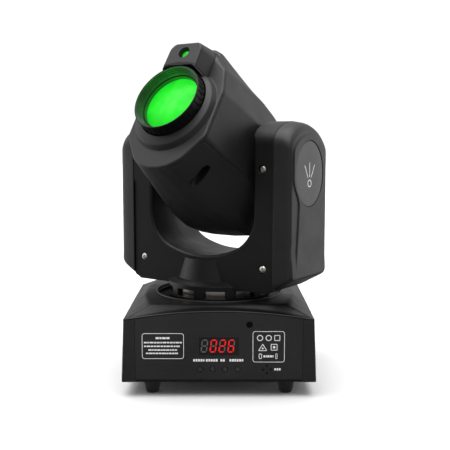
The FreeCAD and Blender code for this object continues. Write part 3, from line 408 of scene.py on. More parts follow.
# half width of the plateau at a distance in front of or behind the middle
PLATEAU_SIDE = [(0.0, 66.0), (22.0, 65.3), (48.0, 60.5), (64.0, 56.0)]
PLATEAU_HALF_Y = 64.0
COVER_WALL = 1.3
# recess floor, its wall and the turn on to the plateau, as (radius, height)
RECESS_PROFILE = ((38.5, RECESS_Z), (41.0, RECESS_Z), (48.0, RECESS_Z), (54.4, RECESS_Z), (55.2, 72.32),
                  (55.75, 72.7), (56.0, 73.3), (56.0, 74.1), (56.1, 74.6), (56.45, 75.0), (57.0, 75.18),
                  (57.6, PLATEAU_Z))
COVER_EDGE = ((0.6, 0.1), (0.25, 0.35), (0.05, 0.7), (0.0, 1.05), (0.0, 1.4))   # (inset, drop)
RECESS_RIM = ((55.85, 73.6), (55.85, 75.5), (55.95, 75.75), (56.3, 75.9), (56.8, 75.9), (57.15, 75.75),
              (57.35, 75.4), (57.4, 74.6), (55.85, 73.6))


def smooth_min(a, b, k):
    h = max(k - abs(a - b), 0.0) / k
    return min(a, b) - h * h * k * 0.25


def lerp_table(table, x):
    for (x0, y0), (x1, y1) in zip(table, table[1:]):
        if x <= x1:
            return y0 + (y1 - y0) * (max(x, x0) - x0) / (x1 - x0)
    return table[-1][1]


def arch_height(x):
    rise = ARCH_Z - EDGE_Z
    radius = (BASE_HALF_X ** 2 + rise ** 2) / (2 * rise)
    return ARCH_Z - radius + sqrt(radius ** 2 - x ** 2)


def cover_height(x, y):
    """Height of the base's top: arched sheet, four hips and the flat round the turntable."""
    half = lerp_table(PLATEAU_SIDE, abs(y))
    along_x = (BASE_HALF_X - abs(x)) / (BASE_HALF_X - half)
    along_y = (BASE_HALF_Y - abs(y)) / (BASE_HALF_Y - PLATEAU_HALF_Y)
    climb = smooth_min(smooth_min(along_x, along_y, 0.12), 1.0, 0.14)
    hip = EDGE_Z + (PLATEAU_Z - EDGE_Z) * climb
    return -smooth_min(-arch_height(x), -hip, 0.7)


def build_top_cover():
    per_side, across = 60, 26
    square = []
    for side in range(4):
        for i in range(per_side):
            t = -1.0 + 2.0 * i / per_side
            point = Vector((1.0, t)) if side % 2 == 0 else Vector((-t, 1.0))
            square.append(point if side < 2 else -point)
    directions = [p.normalized() for p in square]
    rings = [[(d.x * radius, d.y * radius, z) for d in directions] for radius, z in RECESS_PROFILE]
    start = RECESS_PROFILE[-1][0]
    half_x, half_y = BASE_HALF_X - 1.0, BASE_HALF_Y - 1.0
    for k in range(1, across + 1):
        t = k / across
        ring = []
        for d, p in zip(directions, square):
            x, y = d.x * start * (1 - t) + p.x * half_x * t, d.y * start * (1 - t) + p.y * half_y * t
            ring.append((x, y, cover_height(x, y)))
        rings.append(ring)
    for inset, drop in COVER_EDGE:
        rings.append([(p.x * (BASE_HALF_X - inset), p.y * (BASE_HALF_Y - inset),
                       cover_height(p.x * half_x, p.y * half_y) - drop) for p in square])
    bm = bmesh.new()
    stitch(bm, rings)
    # faces inside the recess get the still darker plastic: painted shade in the recess
    for face in bm.faces:
        face.material_index = 1 if face.calc_center_median().to_2d().length < RECESS_R - 0.2 else 0
    # the cover's darker plastic is painted shade from the yoke and head above it
    cover = add_piece("top_cover_shell", bm, AT_BASE, "base", "deck_painted_shade", ("top_cover",))
    cover.data.materials.append(FINISH["recess_painted_shade"][0])
    thicken(cover, COVER_WALL)
    # thin raised rim round the recess; its lighter key plastic is a painted highlight along the rim
    rim = bmesh.new()
    stitch(rim, [[(p.x, p.y, z) for p in circle((0.0, 0.0), r, 180)] for r, z in RECESS_RIM])
    merge(rim)
    add_piece("recess_rim_painted_highlight", rim, AT_BASE, "base", "cap")


SEGMENTS = {
    "a": ((0.0, 2.0), (1.0, 2.0)), "b": ((1.0, 2.0), (1.0, 1.0)), "c": ((1.0, 1.0), (1.0, 0.0)),
    "d": ((0.0, 0.0), (1.0, 0.0)), "e": ((0.0, 1.0), (0.0, 0.0)), "f": ((0.0, 2.0), (0.0, 1.0)),
    "g": ((0.0, 1.0), (1.0, 1.0)),
}
DIGITS = {" ": "", "0": "abcdef", "2": "abged", "6": "afgedc"}
SHOWN = " 026"
DIGIT_W, DIGIT_H = 4.3, 4.9          # width, and height of half a digit
DIGIT_X, DIGIT_Z, DIGIT_PITCH = -14.0, 38.3, 7.3
STROKE, STROKE_GAP = 1.0, 0.35
LEAN, LEAN_Z = 0.13, 43.0


def build_display():
    """Four seven-segment digits behind the front panel's window."""
    lit, unlit = bmesh.new(), bmesh.new()
    for place, digit in enumerate(SHOWN):
        x0 = DIGIT_X + place * DIGIT_PITCH
        for key, ends in SEGMENTS.items():
            a, b = (Vector((x0 + x * DIGIT_W, DIGIT_Z + z * DIGIT_H)) for x, z in ends)
            along = (b - a).normalized()
            across = Vector((-along.y, along.x)) * STROKE * 0.5
            a, b = a + along * STROKE_GAP, b - along * STROKE_GAP
            shape = [a, a + along * 0.5 + across, b - along * 0.5 + across, b,
                     b - along * 0.5 - across, a + along * 0.5 - across]
            shape = [(p.x + (p.y - LEAN_Z) * LEAN, p.y) for p in shape]
            prism(lit if key in DIGITS[digit] else unlit, shape, FRONT_Y + 0.32, FRONT_Y + 0.5)
    add_piece("display_digits_lit", lit, AT_BASE, "base", "lit")
    add_piece("display_digits_unlit", unlit, AT_BASE, "base", "faint")


PRINT_DEPTH = (FRONT_Y - 0.03, FRONT_Y + 0.05)
PRINT_GAP = 0.45
SHORTEST_MARK = 0.6


def greeked(bm, x0, x1, z0, z1, lengths):
    """A line of print too small to read: a run of short marks."""
    x, k = x0, 0
    while x < x1 - SHORTEST_MARK:
        end = min(x + lengths[k % len(lengths)], x1)
        prism(bm, [(x, z0), (end, z0), (end, z1), (x, z1)], *PRINT_DEPTH)
        x, k = end + PRINT_GAP, k + 1


def build_prints():
    """Generic white marks where the front panel carries its printing."""
    marks = bmesh.new()

    def strip(outline, width):
        frame_strip(marks, outline, width, *PRINT_DEPTH)

    strip(box_outline(-62.8, -28.6, 32.6, 53.9, 2.4), 0.42)
    greeked(marks, -51.5, -39.9, 49.1, 50.7, (2.6, 1.7, 3.0))
    for z, x0, x1, lengths in (
            (45.6, -61.2, -30.2, (2.4, 1.4, 3.1, 1.9)), (42.5, -61.0, -31.4, (1.6, 2.9, 2.2)),
            (39.4, -57.6, -34.2, (2.7, 1.3, 1.9)), (36.6, -59.6, -33.4, (1.9, 3.2, 1.4, 2.4))):
        greeked(marks, x0, x1, z, z + 1.15, lengths)
    strip(box_outline(27.6, 53.7, 29.7, 55.6, 2.4), 0.42)
    for x in (33.6, 40.6):
        strip(circle((x, 50.0), 2.5, 32), 0.65)
    strip(box_outline(45.2, 50.0, 47.6, 52.4, 0.6), 0.55)
    strip(rounded([(32.0, 39.2), (39.6, 39.2), (35.8, 45.4)], 0.7), 0.6)
    strip(box_outline(42.4, 47.8, 39.6, 45.0, 0.5), 0.55)
    prism(marks, circle((45.1, 42.3), 1.1, 20), *PRINT_DEPTH)
    prism(marks, circle((35.8, 41.3), 0.75, 16), *PRINT_DEPTH)
    strip(box_outline(32.6, 35.2, 32.6, 37.0, 1.1), 0.55)
    greeked(marks, 36.4, 44.6, 33.8, 35.6, (1.5, 0.8, 1.8))
    strip(box_outline(46.2, 47.8, 32.6, 37.0, 0.5), 0.4)
    for x0, x1 in ((-21.0, -11.8), (-10.6, -0.6), (1.2, 5.6), (8.6, 20.0)):
        greeked(marks, x0, x1, 30.4, 32.4, (1.55,))
    greeked(marks, 45.4, 50.8, 22.9, 24.7, (1.4,))
    add_piece("front_marks", marks, AT_BASE, "base", "print", weighted=False)


def build_base():
    build_top_cover()
    build_display()
    build_prints()
    for node, finish, width in (
            ("side_shell_left", "shell", 0.5), ("side_shell_right", "shell", 0.5),
            ("front_panel", "panel", 0.3), ("rear_panel", "panel", 0.3),
            ("display", "display", 0.15), ("remote_window", "glass_dark", 0.4),
            ("base_tray", "tray", 0.3), ("rubber_feet", "rubber", 0.5), ("base_screws", "screw", 0.1),
            ("power_inlet", "connector", 0.4), ("signal_in", "plated", 0.3), ("signal_out", "plated", 0.3),
            ("slew_ring_outer", "bearing", 0.3)):
        refined(node, "base", finish, width)
    for i in range(4):
        refined("key_%d" % (i + 1), "key_%d" % (i + 1), "cap", 0.35)


# ---- yoke ----

FACE_X = 92.0
FOOT_R = 4.0
BADGE_Y, BADGE_Z = 23.0, 27.5        # half axes of the oval badge
# the arm's side outline at x, as (front, back, top radius, foot height, corner radius)
ARM_STATIONS = [(75.0, (-30.9, 30.4, 43.5, 87.0, 16.0)), (84.0, (-30.1, 30.6, 42.0, 91.7, 15.0)),
                (89.0, (-29.3, 30.6, 38.8, 94.4, 13.0)), (92.0, (-27.2, 29.4, 33.5, 96.6, 10.0))]
# front edge of the raised field, as (height, y)
FIELD_EDGE = [(96.0, -21.4), (114.8, -21.0), (133.5, -19.2), (157.8, -17.2), (164.0, -19.6), (170.4, -23.6),
              (178.0, -26.8), (260.0, -27.0)]


def station(table, x, window=0.0):
    """Values at x from a table of stations, averaged over a window so that they change smoothly."""
    count = 9 if window else 1
    total = [0.0] * len(table[0][1])
    for k in range(count):
        at = x + window * (2.0 * k / (count - 1) - 1.0) if window else x
        at = min(max(at, table[0][0]), table[-1][0])
        for (x0, a), (x1, b) in zip(table, table[1:]):
            if at <= x1:
                t = (at - x0) / (x1 - x0)
                total = [v + (p + (q - p) * t) / count for v, p, q in zip(total, a, b)]
                break
    return total


def arm_loop(y_front, y_rear, top_r, low, corner):
    """Closed side outline of an arm, as (y, height), from the middle of its foot round the front."""
    def shoulder(y):
        along = abs(y) - corner
        up = sqrt((top_r - corner) ** 2 - along ** 2)
        return along, up, atan2(up, along)

    def upright(y, start, end):
        return [Vector((y, start + (end - start) * k / 36.0)) for k in range(36)]

    (front_y, front_z, front_lean), (rear_y, rear_z, rear_lean) = shoulder(y_front), shoulder(y_rear)
    front_z, rear_z, sill = TILT_HEIGHT + front_z, TILT_HEIGHT + rear_z, low + FOOT_R
    quarter = [pi / 2 * k / 6 for k in range(6)]
    quarter = [(FOOT_R * sin(a), FOOT_R * cos(a)) for a in quarter]
    points = [Vector(((y_front + FOOT_R) * k / 10.0, low)) for k in range(10)]
    points += [Vector((y_front + FOOT_R - s, sill - c)) for s, c in quarter]
    points += upright(y_front, sill, front_z)
    points += [Vector((-(front_y + corner * cos(a)), front_z + corner * sin(a)))
               for a in (front_lean * k / 12.0 for k in range(12))]
    top = [pi - front_lean + (rear_lean + front_lean - pi) * k / 24.0 for k in range(24)]
    points += [Vector((top_r * cos(a), TILT_HEIGHT + top_r * sin(a))) for a in top]
    points += [Vector((rear_y + corner * cos(a), rear_z + corner * sin(a)))
               for a in (rear_lean * (1 - k / 12.0) for k in range(12))]
    points += upright(y_rear, rear_z, sill)
    points += [Vector((y_rear - FOOT_R + c, sill - s)) for s, c in quarter]
    points += [Vector(((y_rear - FOOT_R) * (1 - k / 10.0), low)) for k in range(10)]
    return points


def smoothstep(low, high, x):
    t = min(max((x - low) / (high - low), 0.0), 1.0)
    return t * t * (3 - 2 * t)


STEP = 1.0               # height of the raised field over the rest of the face
STEP_FADE = (100.0, 121.0)
ARM_WALL = 1.9
SIDE_X = (75.0, 75.25, 75.6, 77.5, 80.0, 82.5, 84.5, 86.0, 87.2, 88.2, 89.0, 89.7, 90.3, 90.8)
SEAM_INSET = {75.0: 0.45, 75.25: 0.12}
BADGE_POCKET = ((0.2, 91.93), (0.0, 91.75), (-0.05, 91.4), (-0.05, 90.95), (-3.0, 90.9))   # (grow, x)


def build_arm_cover(side, name, node):
    """Outer cover of one arm: rounded shell, raised field with a stepped front edge, badge pocket."""
    def low_x(p):
        return FACE_X - STEP * smoothstep(*STEP_FADE, p.y)

    def field_outline(inset, back):
        return [Vector((max(p.x, lerp_table(FIELD_EDGE, p.y) + back), p.y))
                for p in inset_outline(rim, inset)]

    rings = [[(side * x, p.x, p.y)
              for p in inset_outline(arm_loop(*station(ARM_STATIONS, x, 1.6)), SEAM_INSET.get(x, 0.0))]
             for x in SIDE_X]
    rim = arm_loop(*station(ARM_STATIONS, 91.6))
    edge, field = field_outline(1.3, 0.0), field_outline(2.2, 0.9)
    for outline, sunk in ((rim, 0.45), (inset_outline(rim, 0.9), 0.08), (edge, 0.0)):
        rings.append([(side * (low_x(p) - sunk), p.x, p.y) for p in outline])
    rings.append([(side * (low_x(p) * 0.5 + FACE_X * 0.5), (p.x + q.x) / 2, (p.y + q.y) / 2)
                  for p, q in zip(edge, field)])
    rings.append([(side * (FACE_X - 0.03), p.x, p.y) for p in field])
    oval = []
    for p in field:
        away = p - Vector((0.0, TILT_HEIGHT))
        angle = atan2(away.y / BADGE_Z, away.x / BADGE_Y)
        oval.append((cos(angle), sin(angle)))
    for t in (k / 8.0 for k in range(1, 9)):
        ring = []
        for p, (c, s) in zip(field, oval):
            q = Vector(((BADGE_Y + 0.5) * c, TILT_HEIGHT + (BADGE_Z + 0.5) * s))
            ring.append((side * FACE_X, p.x + (q.x - p.x) * t, p.y + (q.y - p.y) * t))
        rings.append(ring)
    for grow, x in BADGE_POCKET:
        rings.append([(side * x, (BADGE_Y + grow) * c, TILT_HEIGHT + (BADGE_Z + grow) * s) for c, s in oval])
    bm = bmesh.new()
    stitch(bm, rings, cap_end=True)
    thicken(add_piece(name, bm, AT_YOKE, "yoke", "arm", (node,), sharp=45.0), ARM_WALL)


# (shrink, x)
BADGE_PLATE = ((0.35, 90.95), (0.35, 91.35), (0.5, 91.52), (0.85, 91.6), (6.0, 91.66), (14.0, 91.7))


def build_badges():
    """Plain oval plates in the arm covers, each with a generic lamp-and-rays mark."""
    plates, marks = bmesh.new(), bmesh.new()
    for side in (1, -1):
        solid(plates, [[(side * x, (BADGE_Y - shrink) * cos(a), TILT_HEIGHT + (BADGE_Z - shrink) * sin(a))
                        for a in (2 * pi * i / 96 for i in range(96))] for shrink, x in BADGE_PLATE])
        levels = sorted((side * 91.62, side * 91.73))
        lamp = (0.0, TILT_HEIGHT - 8.0)
        frame_strip(marks, circle(lamp, 3.2, 32), 0.8, *levels, plane="yz")
        for lean in (-0.5, 0.0, 0.5):
            ray = Vector((sin(lean), cos(lean)))
            wide = Vector((ray.y, -ray.x)) * 0.42
            a = Vector(lamp) + ray * 5.4
            b = a + ray * 12.0
            prism(marks, [a - wide, b - wide, b + wide, a + wide], *levels, plane="yz")
    add_piece("arm_badge_plates", plates, AT_YOKE, "yoke", "badge", ("arm_badges",))
    add_piece("arm_badge_marks", marks, AT_YOKE, "yoke", "print", weighted=False)


YOKE_SCREWS = [(side, x, z) for side in (-1, 1) for x in (-64.4, 64.4) for z in (103.5, 186.5)]
# shank and domed head, as (radius, distance from the yoke's middle)
YOKE_SCREW = ((1.4, 25.5), (1.4, 27.2), (3.4, 27.3), (3.4, 28.3), (3.2, 28.85), (2.6, 29.4), (1.7, 29.75),
              (0.7, 29.9))
CROSS_SLOT = (3.6, 2.4, 0.85, 1.0)
CROSS_TURN = 0.3


def build_yoke_screws():
    """Domed cross-head screws that fill their round pockets in the yoke's shells."""
    heads = bmesh.new()
    slots = (bmesh.new(), bmesh.new())
    for side, x, z in YOKE_SCREWS:
        solid(heads, [[(x + p.x, side * out, z + p.y) for p in circle((0.0, 0.0), r, 40)]
                      for r, out in YOKE_SCREW])
        for cutter, turn in zip(slots, (CROSS_TURN, CROSS_TURN + pi / 2)):
            at = Matrix.Translation((x, side * 30.0, z)) @ Matrix.Rotation(turn, 4, "Y")
            bmesh.ops.create_cube(cutter, size=1.0, matrix=at @ Matrix.Diagonal(CROSS_SLOT))
    screws = add_piece("yoke_screw_heads", heads, AT_YOKE, "yoke", "screw", ("yoke_screws",))
    cut(screws, slots, AT_YOKE)


def build_yoke():
    # the yoke shells and the turntable collar take the darkened plastic, which is painted shade
    refined("yoke_shell_front", "yoke", "yoke", 0.9)
    refined("yoke_shell_rear", "yoke", "yoke", 0.9)
    build_arm_cover(1, "arm_cover_right_shell", "arm_cover_right")
    build_arm_cover(-1, "arm_cover_left_shell", "arm_cover_left")
    build_badges()
    build_yoke_screws()
    refined("turntable_collar", "yoke", "yoke", 0.3)
    refined("pan_shaft", "yoke", "aluminium", 0.2)


# ---- head ----

# Half sections of the head body, top to bottom, as (u, v).
NOSE = [(12.0, 66.0), (19.5, 61.6), (35.0, 48.7), (41.2, 27.5), (40.2, -15.4), (24.5, -37.0), (14.0, -43.6),
        (5.0, -45.8)]
CROWN = [(12.5, 75.2), (20.6, 70.8), (35.1, 49.7), (41.8, 27.8), (40.9, -15.7), (25.3, -37.4), (14.8, -44.0),
         (5.3, -46.1)]
BELLY = [(18.5, 69.5), (25.5, 66.8), (36.0, 59.5), (49.0, 31.0), (49.0, -19.0), (34.0, -42.0), (24.0, -48.0),
         (9.0, -50.0)]
HIPS = [(16.5, 69.3), (24.8, 66.2), (36.0, 59.5), (49.0, 31.0), (49.0, -19.0), (38.0, -43.3), (27.0, -49.0),
        (10.0, -51.0)]
SHOULDER = [(20.0, 65.5), (26.0, 63.5), (36.0, 57.0), (49.0, 31.0), (49.0, -19.0), (38.0, -42.5),
            (28.0, -48.6), (11.0, -50.2)]
TAIL = [(16.0, 50.0), (20.0, 49.0), (31.0, 44.0), (43.5, 26.0), (43.5, -17.0), (33.0, -39.0), (26.0, -43.5),
        (12.0, -44.8)]
NOSE_S = 81.0
SPLIT_V = -18.0
TAIL_S = -38.0
HEAD_TABLE = [(-s, [c for point in half for c in point]) for s, half in
              ((NOSE_S, NOSE), (76.0, CROWN), (20.0, BELLY), (-6.0, HIPS), (-18.0, SHOULDER), (TAIL_S, TAIL))]
CORNER_R = [2.0, 2.2, 2.6, 2.6, 2.4, 2.2, 3.0, 3.0]
BLEND = 5.0              # sections are averaged over this far each way, less near the ends
SEAM_HALF = 0.12
HEAD_WALL = 2.0
POCKET = (27.8, 55.4)    # middle of a screw pocket, as (u, s)
POCKET_LENGTH = 8.7
POCKET_TURN = radians(19.0)
HEAD_SCREW = ((1.4, -20.6), (2.9, -20.8), (2.9, -22.0), (2.7, -22.6), (2.0, -23.05), (1.0, -23.2))
SEAM_LIP = ((0.6, -1.2), (1.6, -1.2), (1.6, 1.2), (0.6, 1.2))    # (inwards, up) from the seam


def head_outline(s):
    """Rounded many-sided section of the head body at s, as (u, v) points."""
    reach = min(BLEND, 0.4 * (NOSE_S - s), s - TAIL_S)
    values = station(HEAD_TABLE, -s, max(reach, 0.0))
    half = [(values[i], values[i + 1]) for i in range(0, len(values), 2)]
    return rounded(half + [(-u, v) for u, v in reversed(half)], CORNER_R + CORNER_R[::-1], 6)


def head_skin(stations, keep_above):
    """Open skin of the head body between stations, on one side of the seam."""
    bm = bmesh.new()
    stitch(bm, [at_s(inset_outline(head_outline(s), inset), s) for s, inset in stations])
    offset = SEAM_HALF if keep_above else -SEAM_HALF
    bmesh.ops.bisect_plane(bm, geom=bm.verts[:] + bm.edges[:] + bm.faces[:],
                           plane_co=(0, 0, SPLIT_V + offset), plane_no=(0, 0, 1),
                           clear_inner=keep_above, clear_outer=not keep_above)
    return bm


def skin_low(u, s):
    """Height of the underside of the head body at a place across and along it."""
    outline = head_outline(s)
    crossings = []
    for a, b in zip(outline, outline[1:] + outline[:1]):
        if min(a[0], b[0]) <= u < max(a[0], b[0]):
            crossings.append(a[1] + (b[1] - a[1]) * (u - a[0]) / (b[0] - a[0]))
    return min(crossings)


def slot_outline(radius, count=12):
    """Outline of a screw pocket in the chin crease, seen from below, as (u, s) points."""
    points = []
    for end in (1, -1):
        for k in range(count + 1):
            a = pi * (k / count - 0.5 * end)
            x = end * POCKET_LENGTH / 2 + radius * cos(a)
            y = radius * sin(a)
            points.append((POCKET[0] + x * cos(POCKET_TURN) - y * sin(POCKET_TURN),
                           POCKET[1] + x * sin(POCKET_TURN) + y * cos(POCKET_TURN)))
    return points


def seam_u(s):
    """How far out the skin of the head body lies at the seam."""
    outline = head_outline(s)
    return max(a[0] + (b[0] - a[0]) * (SPLIT_V - a[1]) / (b[1] - a[1])
               for a, b in zip(outline, outline[1:] + outline[:1])
               if (a[1] - SPLIT_V) * (b[1] - SPLIT_V) < 0)


def build_head_covers():
    """Two skins that meet at a seam, the lower one with two screw pockets, and lips behind the seam."""
    middle = [77.9] + [77.9 - 0.9 * k for k in range(1, 12)]
    middle += [68.0 - (68.0 + 33.0) * k / 31.0 for k in range(1, 31)]
    stations = [(78.4, 0.3), (78.2, 0.08)] + [(s, 0.0) for s in middle]
    stations += [(-33.2, 0.0), (-33.6, 0.08), (-33.85, 0.3)]
    covers = []
    for half, above in (("upper", True), ("lower", False)):
        name = "head_cover_" + half
        covers.append(add_piece(name + "_shell", head_skin(stations, above), AT_HEAD, "head", "shell",
                                (name,), sharp=50.0))
        thicken(covers[-1], HEAD_WALL)
    lower = covers[1]
    run_on(lower, bpy.ops.object.modifier_apply, modifier="wall")
    cutters = []
    liners, bolts = bmesh.new(), bmesh.new()
    for side in (1, -1):
        slot, hole, wall = ([(side * u, along) for u, along in slot_outline(r)] for r in (3.6, 3.52, 4.8))
        cutters.append(bmesh.new())
        solid(cutters[-1], [[(u, -along, v) for u, along in slot] for v in (-70.0, -22.0)])
        solid(liners, [[(u, -along, -19.0) for u, along in wall],
                       [(u, -along, skin_low(u, along) + 1.1) for u, along in wall],
                       [(u, -along, skin_low(u, along) + 0.25) for u, along in hole],
                       [(u, -along, -21.0) for u, along in hole]])
        solid(bolts, [[(side * POCKET[0] + p.x, -POCKET[1] + p.y, v) for p in circle((0.0, 0.0), r, 32)]
                      for r, v in HEAD_SCREW])
    for side in (1, -1):
        solid(liners, [[(side * (seam_u(s) - inwards), -s, SPLIT_V + up) for inwards, up in SEAM_LIP]
                       for s in middle[1:]])
    cut(lower, cutters, AT_HEAD)
    add_piece("head_screw_pockets", liners, AT_HEAD, "head", "shell")
    add_piece("head_screw_heads", bolts, AT_HEAD, "head", "screw", ("head_screws",))


def outline_reach(outline, angle):
    """Distance from the lens axis to an outline in a direction."""
    direction = Vector((cos(angle), sin(angle)))
    centre = Vector((0.0, LENS_V))
    best = 0.0
    for a, b in zip(outline, outline[1:] + outline[:1]):
        a, b = a - centre, b - centre
        edge = b - a
        det = direction.x * -edge.y + direction.y * edge.x
        if abs(det) < 1e-12:
            continue
        t = (a.x * -edge.y + a.y * edge.x) / det
        k = (direction.x * a.y - direction.y * a.x) / det
        if t > 0 and -1e-6 <= k <= 1 + 1e-6:
            best = max(best, t)
    return best


COLLAR_FOOT_R = 39.5
COLLAR_LIP_R = 36.5
COLLAR_V = 9.5
BEZEL_WALL = 1.3
BEZEL_EDGE = ((78.55, 0.9), (78.55, 0.3), (78.75, 0.06), (79.1, 0.0), (79.4, 0.0), (80.1, 0.15), (80.6, 0.5),
              (80.9, 1.1))   # (s, inset)
BEZEL_BORE = ((31.8, 87.25), (31.5, 87.1), (31.35, 86.7), (31.3, 82.0), (31.3, 72.0))    # (radius, s)


def build_bezel():
    """Flat face round a collar that leans in to the bore of the focus ring."""
    count = 240
    angles = [2 * pi * i / count for i in range(count)]

    def polygon_ring(s, inset):
        outline = inset_outline(head_outline(min(s, NOSE_S)), inset)
        reaches = [outline_reach(outline, a) for a in angles]
        return [(r * cos(a), -s, LENS_V + r * sin(a)) for r, a in zip(reaches, angles)]

    def round_ring(radius, s, centre_v, limit=None):
        """Circle seen from the lens axis; where a limit ring is given it stays just inside that."""
        ring = []
        offset = centre_v - LENS_V
        for i, a in enumerate(angles):
            along = offset * sin(a)
            reach = along + sqrt(max(along ** 2 - offset ** 2 + radius ** 2, 0.0))
            if limit:
                reach = min(reach, hypot(limit[i][0], limit[i][2] - LENS_V) - 0.3 - 0.35 * (s - NOSE_S))
            ring.append((reach * cos(a), -s, LENS_V + reach * sin(a)))
        return ring

    def mixed_rings(first, second, steps):
        return [[tuple(a + (b - a) * t for a, b in zip(p, q)) for p, q in zip(first, second)] for t in steps]

    rings = [polygon_ring(s, inset) for s, inset in BEZEL_EDGE]
    face = polygon_ring(NOSE_S, 1.8)
    foot = round_ring(COLLAR_FOOT_R, 81.05, COLLAR_V, face)
    rings.append(face)
    rings += mixed_rings(face, foot, (0.5, 0.9, 1.0))
    rise = COLLAR_FOOT_R - COLLAR_LIP_R
    for radius, s in ((COLLAR_FOOT_R - 0.35, 81.3), (COLLAR_FOOT_R - rise * 0.5, 83.2),
                      (COLLAR_LIP_R + 0.45, 84.85), (COLLAR_LIP_R + 0.1, 85.25), (COLLAR_LIP_R - 0.4, 85.5)):
        rings.append(round_ring(radius, s, COLLAR_V, face))
    lip, brim = rings[-1], round_ring(32.2, 87.2, LENS_V)
    rings += mixed_rings(lip, brim, (0.3, 0.65, 1.0))
    rings += [round_ring(radius, s, LENS_V) for radius, s in BEZEL_BORE]
    bm = bmesh.new()
    stitch(bm, rings)
    bezel = add_piece("head_bezel_shell", bm, AT_HEAD, "head", "shell", ("head_bezel",), sharp=50.0)
    thicken(bezel, BEZEL_WALL)


HUMP_R = 33.6            # the hollow underside clears the focus ring
HUMP_BACK, HUMP_LENGTH = 80.0, 17.0
HUMP_STATIONS = ((78.6, 0.3), (79.0, 0.0), (82.0, 0.0), (86.0, 0.0), (90.0, 0.0), (94.0, 0.0), (95.6, 0.0),
                 (96.3, 0.15), (96.8, 0.5), (97.0, 1.0))   # (s, inset)
APERTURE = (0.0, 56.4)   # middle of the small aperture, as (u, v)
APERTURE_HOLE = [(0.01, 92.5), (4.2, 92.5), (4.6, 93.5), (5.0, 96.4), (5.4, 97.1), (5.4, 99.0), (0.01, 99.0)]


def hump_outline(top, shoulder, foot):
    """Section of the hump over the lens: chamfered top, leaning sides, hollow underside."""
    reach = asin(foot / HUMP_R)
    right = [top, shoulder, (foot, LENS_V + HUMP_R * cos(reach) + 2.0)]
    corners = rounded([(-u, v) for u, v in right[::-1]] + right, [0.3, 2.6, 2.6, 2.6, 2.6, 0.3])
    return corners + [Vector((HUMP_R * sin(a), LENS_V + HUMP_R * cos(a)))
                      for a in (reach - 2 * reach * k / 12.0 for k in range(13))]


def build_hump():
    near = hump_outline((13.6, 71.0), (20.7, 61.8), 23.0)
    far = hump_outline((12.4, 66.0), (16.2, 61.0), 16.6)
    rings = []
    for s, inset in HUMP_STATIONS:
        t = (s - HUMP_BACK) / HUMP_LENGTH
        rings.append(at_s(inset_outline([a + (b - a) * t for a, b in zip(near, far)], inset), s))
    bm = bmesh.new()
    solid(bm, rings)
    hump = add_piece("head_hump", bm, AT_HEAD, "head", "shell", sharp=40.0)
    hole = bmesh.new()
    lathe(hole, APERTURE_HOLE, APERTURE, 40, closed=False)
    bmesh.ops.holes_fill(hole, edges=hole.edges)
    cut(hump, [hole], AT_HEAD)


RING_R = 30.7
RING_FRONT = 97.2
MOUTH_R = 29.3
LENS_FRONT = 89.8


NOTCHES, NOTCH_STEPS = 36, 10
RING_PROFILE = (    # (radius, s, notch depth)
    (27.2, 69.2, 0), (RING_R, 69.2, 0), (RING_R, 88.0, 0), (RING_R, 88.4, 0), (RING_R, 88.9, 0.55),
    (RING_R, 92.0, 0.55), (RING_R, 95.3, 0.55), (RING_R, 95.9, 0.5), (RING_R - 0.05, 96.3, 0.15),
    (RING_R - 0.12, 96.7, 0), (RING_R - 0.3, 97.0, 0), (RING_R - 0.6, 97.17, 0),
    (RING_R - 0.95, RING_FRONT, 0), (MOUTH_R + 0.35, 97.17, 0),
    (MOUTH_R + 0.2, 97.0, 0), (MOUTH_R + 0.3, 96.3, 0), (29.9, 94.0, 0),
    (28.0, 69.3, 0))
CREST_R = MOUTH_R - 0.15
MOUTH_SLOPE = (MOUTH_R - 27.0) / (96.4 - 91.0)
THREAD_PITCH = 1.4
THREAD_TURN = ((0.0, 0.1), (0.6, -0.1), (0.68, -0.4), (0.5, -0.68), (-0.15, -0.82), (-0.25, -1.0),
               (-0.2, -1.2))


def crest_radius(s):
    return CREST_R - MOUTH_SLOPE * (96.6 - s)


def build_focus_ring():
    """Knurled focus ring: gripping notches round the rim, threaded mouth that narrows to the lens; the
    mouth's grooves glow with painted green light of the lamp.
    """
    count = NOTCHES * NOTCH_STEPS
    rings = []
    for radius, s, notch in RING_PROFILE:
        ring = []
        for i in range(count):
            a = 2 * pi * i / count
            r = radius - (notch if abs((i % NOTCH_STEPS) - 4.5) > 3.0 else 0.0)
            ring.append((r * cos(a), -s, LENS_V + r * sin(a)))
        rings.append(ring)
    bm = bmesh.new()
    stitch(bm, rings + rings[:1])
    merge(bm)
    add_piece("focus_ring_knurled", bm, AT_HEAD, "focus_ring", "ring", ("focus_ring",), sharp=38.0)
    profile = [(MOUTH_R + 0.35, 96.9), (MOUTH_R - 0.1, 96.9)]
    for k in range(4):
        s = 96.5 - THREAD_PITCH * k
        profile += [(crest_radius(s) + dr, s + ds) for dr, ds in THREAD_TURN]
    profile += [(26.95, 90.6), (26.9, 88.0), (26.9, 78.0), (27.6, 78.0), (28.2, 90.0), (29.6, 95.8)]
    thread = bmesh.new()
    lathe(thread, profile, count=144)
    # mouth faces nearest the axis keep the dark ring plastic; the rest glows green, painted light of the lamp
    for face in thread.faces:
        middle = face.calc_center_median()
        height = hypot(middle.x, middle.z - LENS_V) - crest_radius(-middle.y)
        face.material_index = 1 if height < 0.22 and -96.4 < middle.y < -90.9 else 0
    piece = add_piece("focus_ring_thread", thread, AT_HEAD, "focus_ring", "painted_green_light", sharp=38.0)
    piece.data.materials.append(FINISH["ring"][0])


